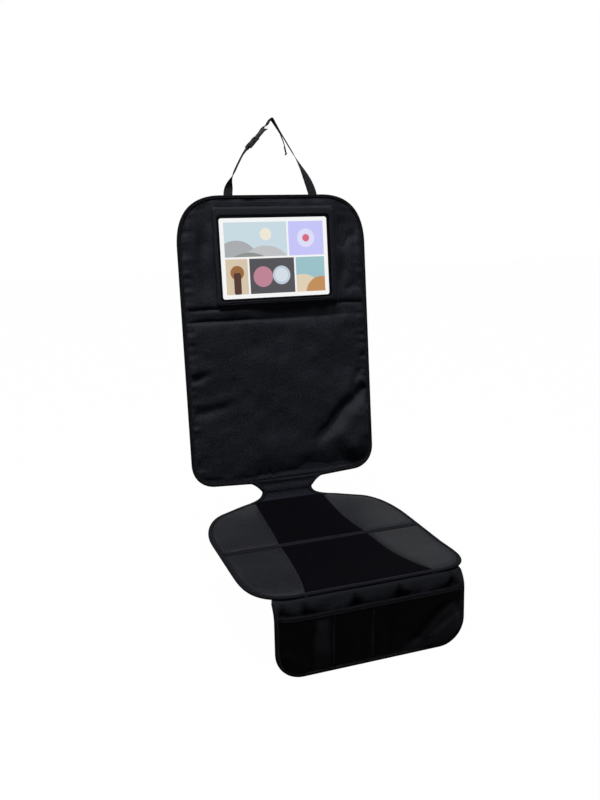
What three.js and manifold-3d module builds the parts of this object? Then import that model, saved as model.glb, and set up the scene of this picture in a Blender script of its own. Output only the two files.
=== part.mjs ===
// Car seat protector with a tablet pocket, in millimetres: +X right, +Y to the rear, +Z up.
// The origin is the centre of the flat part of the seat mat's underside.
// The back panel stands as if hung from a headrest and the flap hangs over the seat's edge.
import * as THREE from 'three';
import { mergeVertices } from 'three/addons/utils/BufferGeometryUtils.js';
import Module from 'manifold-3d';

const wasm = await Module();
wasm.setup();

// Clearance between pieces that touch
const seam = 0.3;

// Side line of the mat, from the top of the back to the seat's front edge
const backRecline = 8;
const backLength = 671;
const crookRadius = 24;
const seatFlat = 156;
const seatEndRun = 146;
const seatEndTangent = 98;
const seatRise = 14;

// Outline of the back panel, as seen from the front
const backWidth = 430;
const topCornerAcross = 100;
const topCornerDown = 108;
const bottomCornerAcross = 46;
const bottomCornerDown = 54;
const backPanelDrop = 628;
const tabWidth = 168;
const tabRun = 5;
const notchWidth = 118;
const notchRun = 21;

// Outline of the seat mat, as seen from above
const seatWidth = 438;
const neckAcross = 50;
const neckRun = 33;
const wingRun = 24;
const shoulderAcross = 55;
const shoulderRun = 122;
const frontCornerAcross = 79;
const frontCornerRun = 122;

// Padding and edge tape
const padEdge = 5;
const edgeLift = 1.8;
const straightStep = 400;
const padRise = 3;
const padSlope = 13;
const creaseWidth = 5;
const upperCreaseDrop = 239;
const lowerCreaseDrop = 264.5;
const tapeThick = 1.1;
const tapeLeg = 6.8;
const tapePlay = 0.4;

// Tablet and its pocket
const tabletWidth = 260;
const tabletHeight = 182;
const tabletThick = 6;
const tabletCorner = 10;
const glassThick = 0.9;
const glassInset = 1;
const filmThick = 0.7;
const pocketPlay = 1.5;
const windowLap = 1;
const windowCorner = 8;
const lipThick = 1.2;
const frameSide = 7;
const frameHead = 15;
const frameFoot = 9;
const frameSlope = 4;
const frameDrop = 24;
const bandWidth = 244;
const bandHeight = 10;
const bandThick = 1.4;

// Panels on the seat
const clothThick = 1;
const clothPuff = 1.4;
const leatherThick = 1;
const leatherPuff = 2;
const crossTapeAt = 230;
const crossTapeWidth = 14;
const crossTapeThick = 2.2;
const stripRearWidth = 162;
const stripWaistWidth = 188;
const stripFrontWidth = 252;
const stripRearStart = 440;
const panelStep = 30;

// Front flap and its pockets
const flapWidth = 376;
const flapLength = 147;
const flapLean = 3.5;
const flapThick = 2.4;
const flapTopCorner = 6;
const flapCurlBack = 13;
const flapCurlReach = 62;
const flapCurlRun = 36;
const flapCurlStep = 9;
const flapCorner = 52;
const pocketDrop = 26;
const pocketBulge = 11;
const bulgeSlope = 0.22;
const bulgeBend = 0.6;
const bulgeLow = 0.78;
const meshThick = 1.2;
const dividerLeftAt = -80;
const dividerRightAt = -4;
const dividerWidth = 5;
const mouthTapeHeight = 9;
const mouthTapeThick = 1;

// Headrest strap, in the plane of the back panel
const strapWidth = 20;
const strapThick = 1.3;
const strapSpread = 193;
const strapSewn = 30;
const strapTwistRise = 50;
const strapLayer = 1.8;
const apexRise = 164;
const apexX = 9;
const strapBowX = 53;
const strapBowRise = 91;
const tailLeaveX = 30;
const tailLeaveRise = 128;
const tailEndX = 40;
const tailEndRise = 87;
const tailFold = 15;

// Side-release buckle, measured along its axis from the socket's webbing end
const buckleX = -47;
const buckleRise = 98;
const buckleTilt = 46;
const buckleWidth = 29;
const buckleThick = 9.6;
const barRadius = 1.5;
const slotWidth = 21.4;
const socketLength = 30;
const socketTaper = 2;
const socketCorner = 3.2;
const socketBarAt = 3.2;
const socketWall = 2;
const cavityWidth = 24;
const cavityThick = 5.6;
const cavityEnd = 11.4;
const windowStart = 12.6;
const windowEnd = 23.8;
const scallopDepth = 4;
const plugWidth = 27;
const plugThick = 6.4;
const plugEnd = 53.5;
const holdBarAt = 44;
const lipBarAt = 52;
const lipReach = 5.2;
const armThick = 4.8;
const armWidth = 3.4;
const padReach = 1.9;
const guideWidth = 6.5;

// Helpers for lines and outlines

const degrees = (angle) => angle * Math.PI / 180;

function stationOn(line, run) {
  const length = line.getLength();
  const kept = Math.min(Math.max(run, 0), length);
  const point = line.getPoint(kept / length);
  const ahead = line.getTangent(kept / length);
  point.addScaledVector(ahead, run - kept);
  return { point, normal: new THREE.Vector2(ahead.y, -ahead.x) };
}

function place(line, x, run, height) {
  const { point, normal } = stationOn(line, run);
  return new THREE.Vector3(x, point.x + normal.x * height, point.y + normal.y * height);
}

function samples(path, divisions) {
  const points = [];
  for (const point of path.getPoints(divisions)) {
    const last = points[points.length - 1];
    if (!last || last.distanceTo(point) > 0.01) points.push(point);
  }
  return points;
}

// Moves a half outline inwards, towards x = 0 and the inside of the sheet.
function inset(points, amount) {
  return points.map((point, i) => {
    const before = points[Math.max(i - 1, 0)];
    const after = points[Math.min(i + 1, points.length - 1)];
    const along = after.clone().sub(before).normalize();
    return new THREE.Vector2(point.x - along.y * amount, point.y + along.x * amount);
  });
}

function halfAt(points, run) {
  if (run <= points[0].y) return points[0].x;
  for (let i = 1; i < points.length; i += 1) {
    const a = points[i - 1];
    const b = points[i];
    if (run <= b.y) {
      const share = b.y - a.y < 1e-6 ? 1 : (run - a.y) / (b.y - a.y);
      return a.x + (b.x - a.x) * share;
    }
  }
  return points[points.length - 1].x;
}

// Widest half width at the run of a flat end, where several points share it.
function halfFrom(points, run) {
  let half = halfAt(points, run);
  for (const point of points) {
    if (Math.abs(point.y - run) < 0.02) half = Math.max(half, point.x);
  }
  return half;
}

function runsBetween(from, to, outline, step, extra = []) {
  const runs = [from, to, ...extra];
  for (const point of outline) runs.push(point.y);
  for (let run = from + step; run < to; run += step) runs.push(run);
  const kept = runs.filter((run) => run >= from && run <= to).sort((a, b) => a - b);
  return kept.filter((run, i) => i === 0 || run - kept[i - 1] > 0.6 || run === to)
    .filter((run, i, all) => run === to || to - run > 0.6 || i === 0 || run === all[0]);
}

// Helpers for solids

function geometryFrom(vertices, triangles) {
  const geometry = new THREE.BufferGeometry();
  geometry.setAttribute('position', new THREE.Float32BufferAttribute(vertices.flat(), 3));
  let volume = 0;
  for (const [a, b, c] of triangles) {
    const p = new THREE.Vector3(...vertices[a]);
    const q = new THREE.Vector3(...vertices[b]);
    const r = new THREE.Vector3(...vertices[c]);
    volume += p.dot(q.cross(r));
  }
  const facing = volume < 0 ? triangles.map(([a, b, c]) => [a, c, b]) : triangles;
  geometry.setIndex(facing.flat());
  return geometry;
}

// A sheet laid on a side line: rows of columns, with an underside and a top side.
function sheet(line, runs, left, right, shares, low, high) {
  const vertices = [];
  const wide = shares.length;
  for (const side of [low, high]) {
    for (const run of runs) {
      for (const share of shares) {
        const x = left(run) + (right(run) - left(run)) * share;
        vertices.push(place(line, x, run, side(x, run)).toArray());
      }
    }
  }
  const upper = runs.length * wide;
  const triangles = [];
  const quad = (a, b, c, d) => triangles.push([a, b, c], [a, c, d]);
  for (let i = 0; i + 1 < runs.length; i += 1) {
    for (let j = 0; j + 1 < wide; j += 1) {
      const a = i * wide + j;
      quad(a, a + 1, a + wide + 1, a + wide);
      quad(upper + a, upper + a + wide, upper + a + wide + 1, upper + a + 1);
    }
    const first = i * wide;
    const last = first + wide - 1;
    quad(first, first + wide, upper + first + wide, upper + first);
    quad(last, upper + last, upper + last + wide, last + wide);
  }
  const end = (runs.length - 1) * wide;
  for (let j = 0; j + 1 < wide; j += 1) {
    quad(j, upper + j, upper + j + 1, j + 1);
    quad(end + j, end + j + 1, upper + end + j + 1, upper + end + j);
  }
  return geometryFrom(vertices, triangles);
}

// Distance from a point to the edge of a region between two sides and two ends.
function edgeDistance(x, run, from, to, left, right) {
  let nearest = Math.min(run - from, to - run);
  const step = 6;
  for (let at = from; at <= to; at += step) {
    const next = Math.min(at + step, to);
    for (const side of [left, right]) {
      const a = new THREE.Vector2(side(at), at);
      const b = new THREE.Vector2(side(next), next);
      const along = b.clone().sub(a);
      const share = along.lengthSq() < 1e-9 ? 0
        : THREE.MathUtils.clamp(new THREE.Vector2(x, run).sub(a).dot(along) / along.lengthSq(), 0, 1);
      nearest = Math.min(nearest, a.addScaledVector(along, share).distanceTo(new THREE.Vector2(x, run)));
    }
  }
  return Math.max(nearest, 0);
}

const puff = (distance, slope) => 1 - (1 - Math.min(distance / slope, 1)) ** 2;

// Sweeps a closed section round a list of stations that each place (across, height).
function sweep(stations, section, closed) {
  const vertices = [];
  for (const station of stations) {
    for (const [across, height] of section) vertices.push(station(across, height).toArray());
  }
  const count = section.length;
  const triangles = [];
  const total = closed ? stations.length : stations.length - 1;
  for (let i = 0; i < total; i += 1) {
    const here = i * count;
    const there = ((i + 1) % stations.length) * count;
    for (let j = 0; j < count; j += 1) {
      const k = (j + 1) % count;
      triangles.push([here + j, here + k, there + k], [here + j, there + k, there + j]);
    }
  }
  if (!closed) {
    const flat = section.map(([across, height]) => new THREE.Vector2(across, height));
    const last = (stations.length - 1) * count;
    const turned = THREE.ShapeUtils.isClockWise(flat);
    for (const [a, b, c] of THREE.ShapeUtils.triangulateShape(turned ? flat.slice().reverse() : flat, [])) {
      const pick = (index) => (turned ? count - 1 - index : index);
      const ends = turned ? [pick(a), pick(b), pick(c)] : [pick(a), pick(c), pick(b)];
      triangles.push(ends, [last + ends[0], last + ends[2], last + ends[1]]);
    }
  }
  return geometryFrom(vertices, triangles);
}

const level = () => 0;

// Folded tape that holds the edge of a sheet: its outer edge runs along the finished outline.
function edgeTape(line, outline, sheetLow, sheetHigh, curl = level, closed = false) {
  const stations = outline.map((point, i) => {
    const count = outline.length;
    const before = outline[closed ? (i + count - 1) % count : Math.max(i - 1, 0)];
    const after = outline[closed ? (i + 1) % count : Math.min(i + 1, count - 1)];
    const into = point.clone().sub(before).normalize();
    const out = after.clone().sub(point).normalize();
    const along = into.clone().add(out).normalize();
    const spread = 1 / Math.max(along.dot(into.lengthSq() > 0 ? into : out), 0.7);
    const outward = new THREE.Vector2(along.y, -along.x).multiplyScalar(spread);
    return (across, height) => {
      const x = point.x + outward.x * across;
      const run = point.y + outward.y * across;
      return place(line, x, run, height - curl(x, run));
    };
  });
  const low = sheetLow - tapePlay - tapeThick;
  const high = sheetHigh + tapePlay + tapeThick;
  const leg = -(tapeThick + tapePlay + tapeLeg);
  const soft = tapeThick * 0.6;
  const section = [
    [leg, low], [-soft * 1.6, low], [0, low + soft], [0, high - soft], [-soft * 1.6, high], [leg, high],
    [leg, high - tapeThick], [-tapeThick, high - tapeThick],
    [-tapeThick, low + tapeThick], [leg, low + tapeThick],
  ];
  return sweep(stations, section, closed);
}

function toManifold(geometry) {
  const bare = geometry.clone();
  bare.deleteAttribute('normal');
  bare.deleteAttribute('uv');
  const merged = mergeVertices(bare, 1e-4);
  return new wasm.Manifold(new wasm.Mesh({
    numProp: 3,
    vertProperties: new Float32Array(merged.attributes.position.array),
    triVerts: new Uint32Array(merged.index.array),
  }));
}

function fromManifold(solid) {
  const mesh = solid.getMesh();
  const geometry = new THREE.BufferGeometry();
  geometry.setAttribute('position', new THREE.BufferAttribute(new Float32Array(mesh.vertProperties), 3));
  geometry.setIndex(new THREE.BufferAttribute(new Uint32Array(mesh.triVerts), 1));
  return geometry;
}

const join = (...parts) => parts.map(toManifold).reduce((sum, part) => sum.add(part));

function roundedRect(width, height, radius) {
  const x = width / 2;
  const y = height / 2;
  const shape = new THREE.Shape();
  shape.moveTo(-x + radius, -y);
  shape.lineTo(x - radius, -y);
  shape.absarc(x - radius, -y + radius, radius, -Math.PI / 2, 0, false);
  shape.lineTo(x, y - radius);
  shape.absarc(x - radius, y - radius, radius, 0, Math.PI / 2, false);
  shape.lineTo(-x + radius, y);
  shape.absarc(-x + radius, y - radius, radius, Math.PI / 2, Math.PI, false);
  shape.lineTo(-x, -y + radius);
  shape.absarc(-x + radius, -y + radius, radius, Math.PI, Math.PI * 1.5, false);
  return shape;
}

function slab(shape, low, high, bevel = 0, bevelSteps = 2) {
  const geometry = new THREE.ExtrudeGeometry(shape, {
    depth: high - low - 2 * bevel,
    curveSegments: 5,
    bevelEnabled: bevel > 0,
    bevelThickness: bevel,
    bevelSize: bevel,
    bevelOffset: -bevel,
    bevelSegments: bevelSteps,
  });
  geometry.translate(0, 0, low + bevel);
  return geometry;
}

function block(x0, x1, y0, y1, z0, z1) {
  const geometry = new THREE.BoxGeometry(x1 - x0, y1 - y0, z1 - z0);
  geometry.translate((x0 + x1) / 2, (y0 + y1) / 2, (z0 + z1) / 2);
  return geometry;
}

// Side line of the mat: the rear face of the back, round the crook, along the seat's underside

const crook = new THREE.Vector2(seatFlat / 2 + seatEndRun, seatRise);
const intoCrook = new THREE.Vector2(seatEndTangent, seatRise).normalize();
const upBack = new THREE.Vector2(Math.sin(degrees(backRecline)), Math.cos(degrees(backRecline)));
const crookTurn = Math.acos(intoCrook.dot(upBack));
const crookTangent = crookRadius * Math.tan(crookTurn / 2);
const backTop = crook.clone().addScaledVector(upBack, backLength);
const crookStart = crook.clone().addScaledVector(upBack, crookTangent);
const crookEnd = crook.clone().addScaledVector(intoCrook, -crookTangent);
const crookInward = new THREE.Vector2(-upBack.y, upBack.x);
const crookCentre = crookStart.clone().addScaledVector(crookInward, crookRadius);
const matLine = new THREE.Path();
matLine.moveTo(backTop.x, backTop.y);
matLine.lineTo(crookStart.x, crookStart.y);
matLine.absarc(
  crookCentre.x, crookCentre.y, crookRadius,
  Math.atan2(crookStart.y - crookCentre.y, crookStart.x - crookCentre.x),
  Math.atan2(crookEnd.y - crookCentre.y, crookEnd.x - crookCentre.x), true,
);
matLine.quadraticCurveTo(crook.x - seatEndTangent, 0, seatFlat / 2, 0);
matLine.lineTo(-seatFlat / 2, 0);
matLine.quadraticCurveTo(-crook.x + seatEndTangent, 0, -crook.x, seatRise);
const matLength = matLine.getLength();
const crookRun = backLength - crookTangent;
const notchDrop = backPanelDrop + notchRun;

// Outlines of the finished edges, right half, as (half width, run along the side line)

const backOutlinePath = new THREE.Path();
const backHalf = backWidth / 2;
const cornerTop = backPanelDrop - tabRun - bottomCornerDown;
backOutlinePath.moveTo(0, 0);
backOutlinePath.lineTo(backHalf - topCornerAcross, 0);
backOutlinePath.bezierCurveTo(
  backHalf - topCornerAcross * 0.5, 0, backHalf, topCornerDown * 0.2, backHalf, topCornerDown,
);
backOutlinePath.lineTo(backHalf, cornerTop);
backOutlinePath.bezierCurveTo(
  backHalf, cornerTop + bottomCornerDown * 0.6, backHalf - bottomCornerAcross * 0.45,
  cornerTop + bottomCornerDown * 0.94, backHalf - bottomCornerAcross, cornerTop + bottomCornerDown,
);
backOutlinePath.lineTo(tabWidth / 2, backPanelDrop);
backOutlinePath.quadraticCurveTo(
  (tabWidth + notchWidth) / 4, backPanelDrop + tabRun, notchWidth / 2, notchDrop,
);
const backOutline = samples(backOutlinePath, 8);

const seatHalf = seatWidth / 2;
const neckEnd = new THREE.Vector2(notchWidth / 2 + neckAcross, notchDrop + neckRun);
const wingEnd = new THREE.Vector2(seatHalf - shoulderAcross, neckEnd.y + wingRun);
const frontCornerStart = matLength - frontCornerRun;
const seatOutlinePath = new THREE.Path();
seatOutlinePath.moveTo(notchWidth / 2, notchDrop);
seatOutlinePath.bezierCurveTo(
  notchWidth / 2, notchDrop + neckRun * 0.55, neckEnd.x - neckAcross * 0.5, neckEnd.y - neckRun * 0.3,
  neckEnd.x, neckEnd.y,
);
seatOutlinePath.lineTo(wingEnd.x, wingEnd.y);
seatOutlinePath.bezierCurveTo(
  wingEnd.x + shoulderAcross * 0.55, wingEnd.y + shoulderRun * 0.12,
  seatHalf, wingEnd.y + shoulderRun * 0.45, seatHalf, wingEnd.y + shoulderRun,
);
seatOutlinePath.lineTo(seatHalf, frontCornerStart);
seatOutlinePath.bezierCurveTo(
  seatHalf, frontCornerStart + frontCornerRun * 0.56,
  seatHalf - frontCornerAcross * 0.16, matLength - frontCornerRun * 0.03,
  seatHalf - frontCornerAcross, matLength - 1,
);
seatOutlinePath.lineTo(0, matLength);
const seatOutline = samples(seatOutlinePath, 7);

const edgeIn = tapeThick + tapePlay;
const tapeIn = edgeIn + tapeLeg + seam;
const mirrored = (outline) => outline.slice().reverse().map((point) => new THREE.Vector2(-point.x, point.y));

// Long edges get extra points so that the tape follows the bent side line, most of all in the crook.
const crookStep = 3;
const crookBottom = crookRun + crookRadius * crookTurn;
const crookRuns = [];
for (let run = crookRun; run < crookBottom; run += crookStep) crookRuns.push(run);

function divided(points, step) {
  const result = [points[0]];
  for (let i = 1; i < points.length; i += 1) {
    const inCrook = points[i].y > crookRun && points[i - 1].y < crookBottom;
    const parts = Math.ceil(Math.abs(points[i].y - points[i - 1].y) / (inCrook ? crookStep : step)) || 1;
    for (let j = 1; j <= parts; j += 1) result.push(points[i - 1].clone().lerp(points[i], j / parts));
  }
  return result;
}

// Back panel: a thin edge all round, three padded fields and the stitched folds between them

const shade = (color, roughness) => new THREE.MeshStandardMaterial({ color, roughness });
const polyester = () => shade(0x1c1e24, 0.85);
const leather = () => shade(0x2d2e32, 0.5);
const darkCloth = () => shade(0x0c0d11, 0.9);
const tapeCloth = () => shade(0x101116, 0.8);
const webbing = () => shade(0x2c2d32, 0.8);
const acetal = () => shade(0x303136, 0.45);

const part = new THREE.Group();

function addPiece(name, geometry, material, parent = part) {
  const mesh = new THREE.Mesh(geometry, material);
  mesh.name = name;
  parent.add(mesh);
  return mesh;
}

const backEnd = notchDrop - seam / 2;
const backEdge = inset(backOutline, edgeIn);
const backStart = backEdge[0].y;
const backBase = sheet(
  matLine, runsBetween(backStart, backEnd, backEdge, straightStep),
  (run) => -halfFrom(backEdge, run), (run) => halfFrom(backEdge, run), [0, 1],
  () => edgeLift, () => padEdge,
);

const fieldShares = [0, 0.008, 0.02, 0.04, 0.5, 0.96, 0.98, 0.992, 1];
const fieldEdge = inset(backOutline, tapeIn);
const fieldSide = (run) => halfFrom(fieldEdge, run);

function backField(from, to) {
  const near = [1, 3, 6.5, padSlope].flatMap((step) => [from + step, to - step]);
  const between = runsBetween(from, to, fieldEdge, straightStep);
  const runs = [...between, ...near].filter((run) => run >= from && run <= to);
  runs.sort((a, b) => a - b);
  const kept = runs.filter((run, i) => i === 0 || run - runs[i - 1] > 0.5);
  const rise = (x, run) => puff(
    edgeDistance(x, run, from, to, (at) => -fieldSide(at), fieldSide), padSlope,
  );
  return sheet(
    matLine, kept, (run) => -fieldSide(run), fieldSide, fieldShares,
    () => padEdge - 1, (x, run) => padEdge + 0.4 + (padRise - 0.4) * rise(x, run),
  );
}

const creaseHalf = creaseWidth / 2;
const fieldEnd = backPanelDrop - tapeIn - tabRun;

// The padding behind starts below the sewn ends of the straps and stands flush with the edge tape.
const padBehindStart = strapSewn + 4;
const padBehind = sheet(
  matLine, runsBetween(padBehindStart, fieldEnd, fieldEdge, straightStep),
  (run) => -fieldSide(run), fieldSide, [0, 1], level, () => edgeLift + 0.6,
);
const backPanel = join(
  backBase,
  padBehind,
  backField(fieldEdge[0].y, upperCreaseDrop - creaseHalf),
  backField(upperCreaseDrop + creaseHalf, lowerCreaseDrop - creaseHalf),
  backField(lowerCreaseDrop + creaseHalf, fieldEnd),
);
addPiece('back_panel', fromManifold(backPanel), polyester());

const backTapeHalf = divided(backOutline, 2 * straightStep);
backTapeHalf[backTapeHalf.length - 1] = new THREE.Vector2(notchWidth / 2, backEnd);
const backTapeEdge = [...mirrored(backTapeHalf), ...backTapeHalf.slice(1)];
addPiece('back_binding', edgeTape(matLine, backTapeEdge, edgeLift, padEdge), tapeCloth());

// Tablet pocket, built flat on the padded upper field: local X right, Y up the back, Z to the front

const onBack = new THREE.Group();
const backFace = place(matLine, 0, 0, 0);
onBack.position.copy(backFace);
onBack.rotation.x = degrees(90 - backRecline);
part.add(onBack);

const padTop = padEdge + padRise + seam;
const cavityWide = tabletWidth + 2 * pocketPlay;
const cavityTall = tabletHeight + 2 * pocketPlay;
const windowWidth = tabletWidth - 2 * windowLap;
const windowHeight = tabletHeight - 2 * windowLap;
const frameWide = cavityWide + 2 * frameSide;
const frameTall = cavityTall + frameHead + frameFoot;
const glassLow = tabletThick + seam;
const filmLow = glassLow + glassThick + seam;
const lipLow = filmLow + filmThick + seam;
const frameTop = lipLow + lipThick;
const pocket = new THREE.Group();
pocket.position.set(0, -frameDrop - frameHead - cavityTall / 2, padTop);
onBack.add(pocket);

const frameOuter = slab(roundedRect(frameWide, frameTall, 6), -frameTop, frameTop, frameSlope);
frameOuter.translate(0, (frameHead - frameFoot) / 2, 0);
const frameBody = toManifold(frameOuter)
  .subtract(toManifold(block(-frameWide, frameWide, -frameTall, frameTall, -2 * frameTop, 0)))
  .subtract(toManifold(slab(roundedRect(cavityWide, cavityTall, tabletCorner + pocketPlay), -1, lipLow)))
  .subtract(toManifold(slab(roundedRect(windowWidth, windowHeight, windowCorner), -1, frameTop + 1)));
addPiece('tablet_pocket_frame', fromManifold(frameBody), polyester(), pocket);
addPiece(
  'tablet_body', slab(roundedRect(tabletWidth, tabletHeight, tabletCorner), 0, tabletThick, 1.2, 1),
  shade(0x15161a, 0.4), pocket,
);
addPiece(
  'tablet_glass',
  slab(
    roundedRect(tabletWidth - 2 * glassInset, tabletHeight - 2 * glassInset, tabletCorner - glassInset),
    glassLow, glassLow + glassThick,
  ),
  shade(0xf4f5f8, 0.15), pocket,
);
addPiece(
  'tablet_window',
  slab(roundedRect(tabletWidth + 1, tabletHeight + 1, tabletCorner), filmLow, filmLow + filmThick),
  shade(0xdfe3e8, 0.1), pocket,
);
const band = slab(roundedRect(bandWidth, bandHeight, 1.5), padTop, padTop + bandThick);
band.translate(0, -frameDrop + seam + bandHeight / 2, 0);
addPiece('pocket_top_band', band, polyester(), onBack);

// Seat mat: padded base with its neck, then the panels that are sewn on top of it

const seatStart = notchDrop + seam / 2;
const seatEdge = inset(seatOutline, edgeIn);
const seatEdgeEnd = matLength - edgeIn - 1.2;
const seatEdgeHalf = (run) => (
  run > seatEdgeEnd ? halfFrom(seatEdge, seatEdge[seatEdge.length - 2].y) : halfAt(seatEdge, run)
);
const seatEnd = matLength - edgeIn - 1;
const seatRuns = runsBetween(seatStart, seatEnd, seatEdge, 24, crookRuns);
const seatPlate = sheet(
  matLine, seatRuns, (run) => -seatEdgeHalf(run), seatEdgeHalf, [0, 1], () => edgeLift, () => padEdge,
);

const seatTapeHalf = divided(seatOutline, 28);
seatTapeHalf[0] = new THREE.Vector2(notchWidth / 2, seatStart);
const seatTapeEdge = [...seatTapeHalf, ...mirrored(seatTapeHalf).slice(1)];
addPiece('seat_binding', edgeTape(matLine, seatTapeEdge, edgeLift, padEdge), tapeCloth());

const panelEdge = inset(seatOutline, tapeIn + seam);
const panelHalf = (run) => halfAt(panelEdge, run);
const fromFront = (distance) => matLength - distance;
const tapeRear = fromFront(crossTapeAt) - crossTapeWidth / 2;
const tapeFront = fromFront(crossTapeAt) + crossTapeWidth / 2;
const stripStart = fromFront(stripRearStart);
const panelEnd = fromFront(tapeIn + 1.4);
const underRuns = seatRuns.filter((run) => run > stripStart + 4 && run < panelEnd - 4);
const seatUnder = sheet(
  matLine, [stripStart, ...underRuns, panelEnd], (run) => -panelHalf(run), panelHalf, [0, 1],
  level, () => edgeLift + 0.6,
);
addPiece('seat_base', fromManifold(join(seatPlate, seatUnder)), darkCloth());

// Half width of the dark strip: it narrows from the front edge to the cross tape and again to the neck.
const rearStrip = new THREE.Path();
rearStrip.moveTo(stripRearWidth / 2, stripStart);
rearStrip.quadraticCurveTo(
  stripRearWidth / 2, (stripStart + tapeRear) / 2 + 30, stripWaistWidth / 2, tapeRear,
);
const frontStrip = new THREE.Path();
frontStrip.moveTo(stripWaistWidth / 2, tapeFront);
frontStrip.quadraticCurveTo(
  stripWaistWidth / 2 + 10, (tapeFront + panelEnd) / 2, stripFrontWidth / 2, panelEnd,
);
const rearStripLine = samples(rearStrip, 10);
const frontStripLine = samples(frontStrip, 10);
const stripHalf = (run) => {
  if (run <= tapeRear) return Math.min(halfAt(rearStripLine, run), panelHalf(run));
  return halfAt(frontStripLine, run);
};

function seatPanel(name, from, to, left, right, thick, rise, material) {
  const lower = padEdge + seam;
  const height = (x, run) => lower + thick + rise * puff(edgeDistance(x, run, from, to, left, right), 16);
  const near = [2, 8].flatMap((step) => [from + step, to - step]);
  const between = runsBetween(from, to, panelEdge, panelStep, crookRuns);
  const runs = [...between, ...near].filter((run) => run >= from && run <= to);
  runs.sort((a, b) => a - b);
  const kept = runs.filter((run, i) => i === 0 || run - runs[i - 1] > 1.2 || run === to);
  if (kept.length > 1 && to - kept[kept.length - 2] < 1.2) kept.splice(kept.length - 2, 1);
  const geometry = sheet(matLine, kept, left, right, [0, 0.05, 0.14, 0.86, 0.95, 1], () => lower, height);
  addPiece(name, geometry, material);
}

const sideStart = (() => {
  let run = stripStart - 20;
  while (panelHalf(run) < halfAt(rearStripLine, run) + 12) run += 0.5;
  return run;
})();
const stripGap = seam / 2;
for (const side of [-1, 1]) {
  const word = side < 0 ? 'left' : 'right';
  const inner = (run) => side * (stripHalf(run) + stripGap);
  const outer = (run) => side * Math.max(panelHalf(run), stripHalf(run) + 4);
  const left = side < 0 ? outer : inner;
  const right = side < 0 ? inner : outer;
  seatPanel(
    `seat_side_rear_${word}`, sideStart, tapeRear - seam, left, right, leatherThick, leatherPuff, leather(),
  );
  seatPanel(
    `seat_side_front_${word}`, tapeFront + seam, panelEnd, left, right, leatherThick, leatherPuff, leather(),
  );
}
const centreRight = (run) => stripHalf(run) - stripGap;
const centreLeft = (run) => -centreRight(run);
for (const [name, from, to] of [
  ['seat_centre_rear', stripStart, tapeRear - seam], ['seat_centre_front', tapeFront + seam, panelEnd],
]) seatPanel(name, from, to, centreLeft, centreRight, clothThick, clothPuff, darkCloth());
const crossTape = sheet(
  matLine, [tapeRear, tapeRear + 2, tapeFront - 2, tapeFront],
  (run) => -panelHalf(run), panelHalf, [0, 0.5, 1],
  () => padEdge + seam,
  (x, run) => padEdge + seam + crossTapeThick * (run > tapeRear + 1 && run < tapeFront - 1 ? 1 : 0.6),
);
addPiece('seat_cross_tape', crossTape, tapeCloth());

// Front flap: it hangs from the seat's front edge, with mesh pockets that stand open at the mouth

const flapHang = new THREE.Vector2(-Math.sin(degrees(flapLean)), -Math.cos(degrees(flapLean)));
const flapTop = new THREE.Vector2(
  -crook.x - 2 + flapThick, seatRise + edgeLift - tapePlay - tapeThick - seam,
);
const flapLine = new THREE.Path();
flapLine.moveTo(flapTop.x, flapTop.y);
flapLine.lineTo(flapTop.x + flapHang.x * flapLength, flapTop.y + flapHang.y * flapLength);

function flapOutlineIn(amount) {
  const half = flapWidth / 2 - amount;
  const top = Math.max(flapTopCorner - amount, 1);
  const bottom = flapCorner - amount;
  const path = new THREE.Path();
  path.moveTo(0, amount);
  path.lineTo(half - top, amount);
  path.absarc(half - top, amount + top, top, -Math.PI / 2, 0, false);
  path.lineTo(half, flapLength - amount - bottom);
  path.absarc(half - bottom, flapLength - amount - bottom, bottom, 0, Math.PI / 2, false);
  path.lineTo(0, flapLength - amount);
  return samples(path, 6);
}

// The top of the flap follows the rounded front corners of the seat, so it curls back at both ends.
function flapCurl(x, run) {
  const across = Math.max(Math.abs(x) - flapWidth / 2 + flapCurlReach, 0) / flapCurlReach;
  const up = 1 - THREE.MathUtils.clamp(run / flapCurlRun, 0, 1);
  return flapCurlBack * (across * up) ** 2;
}

const flapEdge = flapOutlineIn(edgeIn);
const flapHalf = (run) => halfFrom(flapEdge, run);
const flapRuns = [
  ...runsBetween(0, flapCurlRun, flapEdge, flapCurlStep),
  ...runsBetween(flapCurlRun + flapCurlStep, flapLength - edgeIn, flapEdge, straightStep),
];
const flap = sheet(
  flapLine, flapRuns,
  (run) => -flapHalf(Math.max(run, edgeIn)), (run) => flapHalf(Math.max(run, edgeIn)),
  [0, 0.02, 0.055, 0.1, 0.16, 0.84, 0.9, 0.945, 0.98, 1],
  (x, run) => -flapCurl(x, run), (x, run) => flapThick - flapCurl(x, run),
);
addPiece('front_flap', flap, darkCloth());
const flapSide = flapOutlineIn(0).filter((point) => point.y >= flapTopCorner - 0.01);
const flapCurlEnd = new THREE.Vector2(flapSide[0].x, flapCurlRun);
const flapTapeHalf = [...divided([flapSide[0], flapCurlEnd], flapCurlStep), ...flapSide.slice(1)];
const flapTapeEdge = [...flapTapeHalf, ...mirrored(flapTapeHalf).slice(1)];
addPiece('flap_binding', edgeTape(flapLine, flapTapeEdge, 0, flapThick, flapCurl), tapeCloth());

const meshEdge = flapOutlineIn(tapeIn);
const meshHalf = (run) => halfFrom(meshEdge, run);
const meshEnd = flapLength - tapeIn;
const meshSide = flapWidth / 2 - tapeIn;
const pocketEdges = [-meshSide, dividerLeftAt, dividerRightAt, meshSide];

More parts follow.
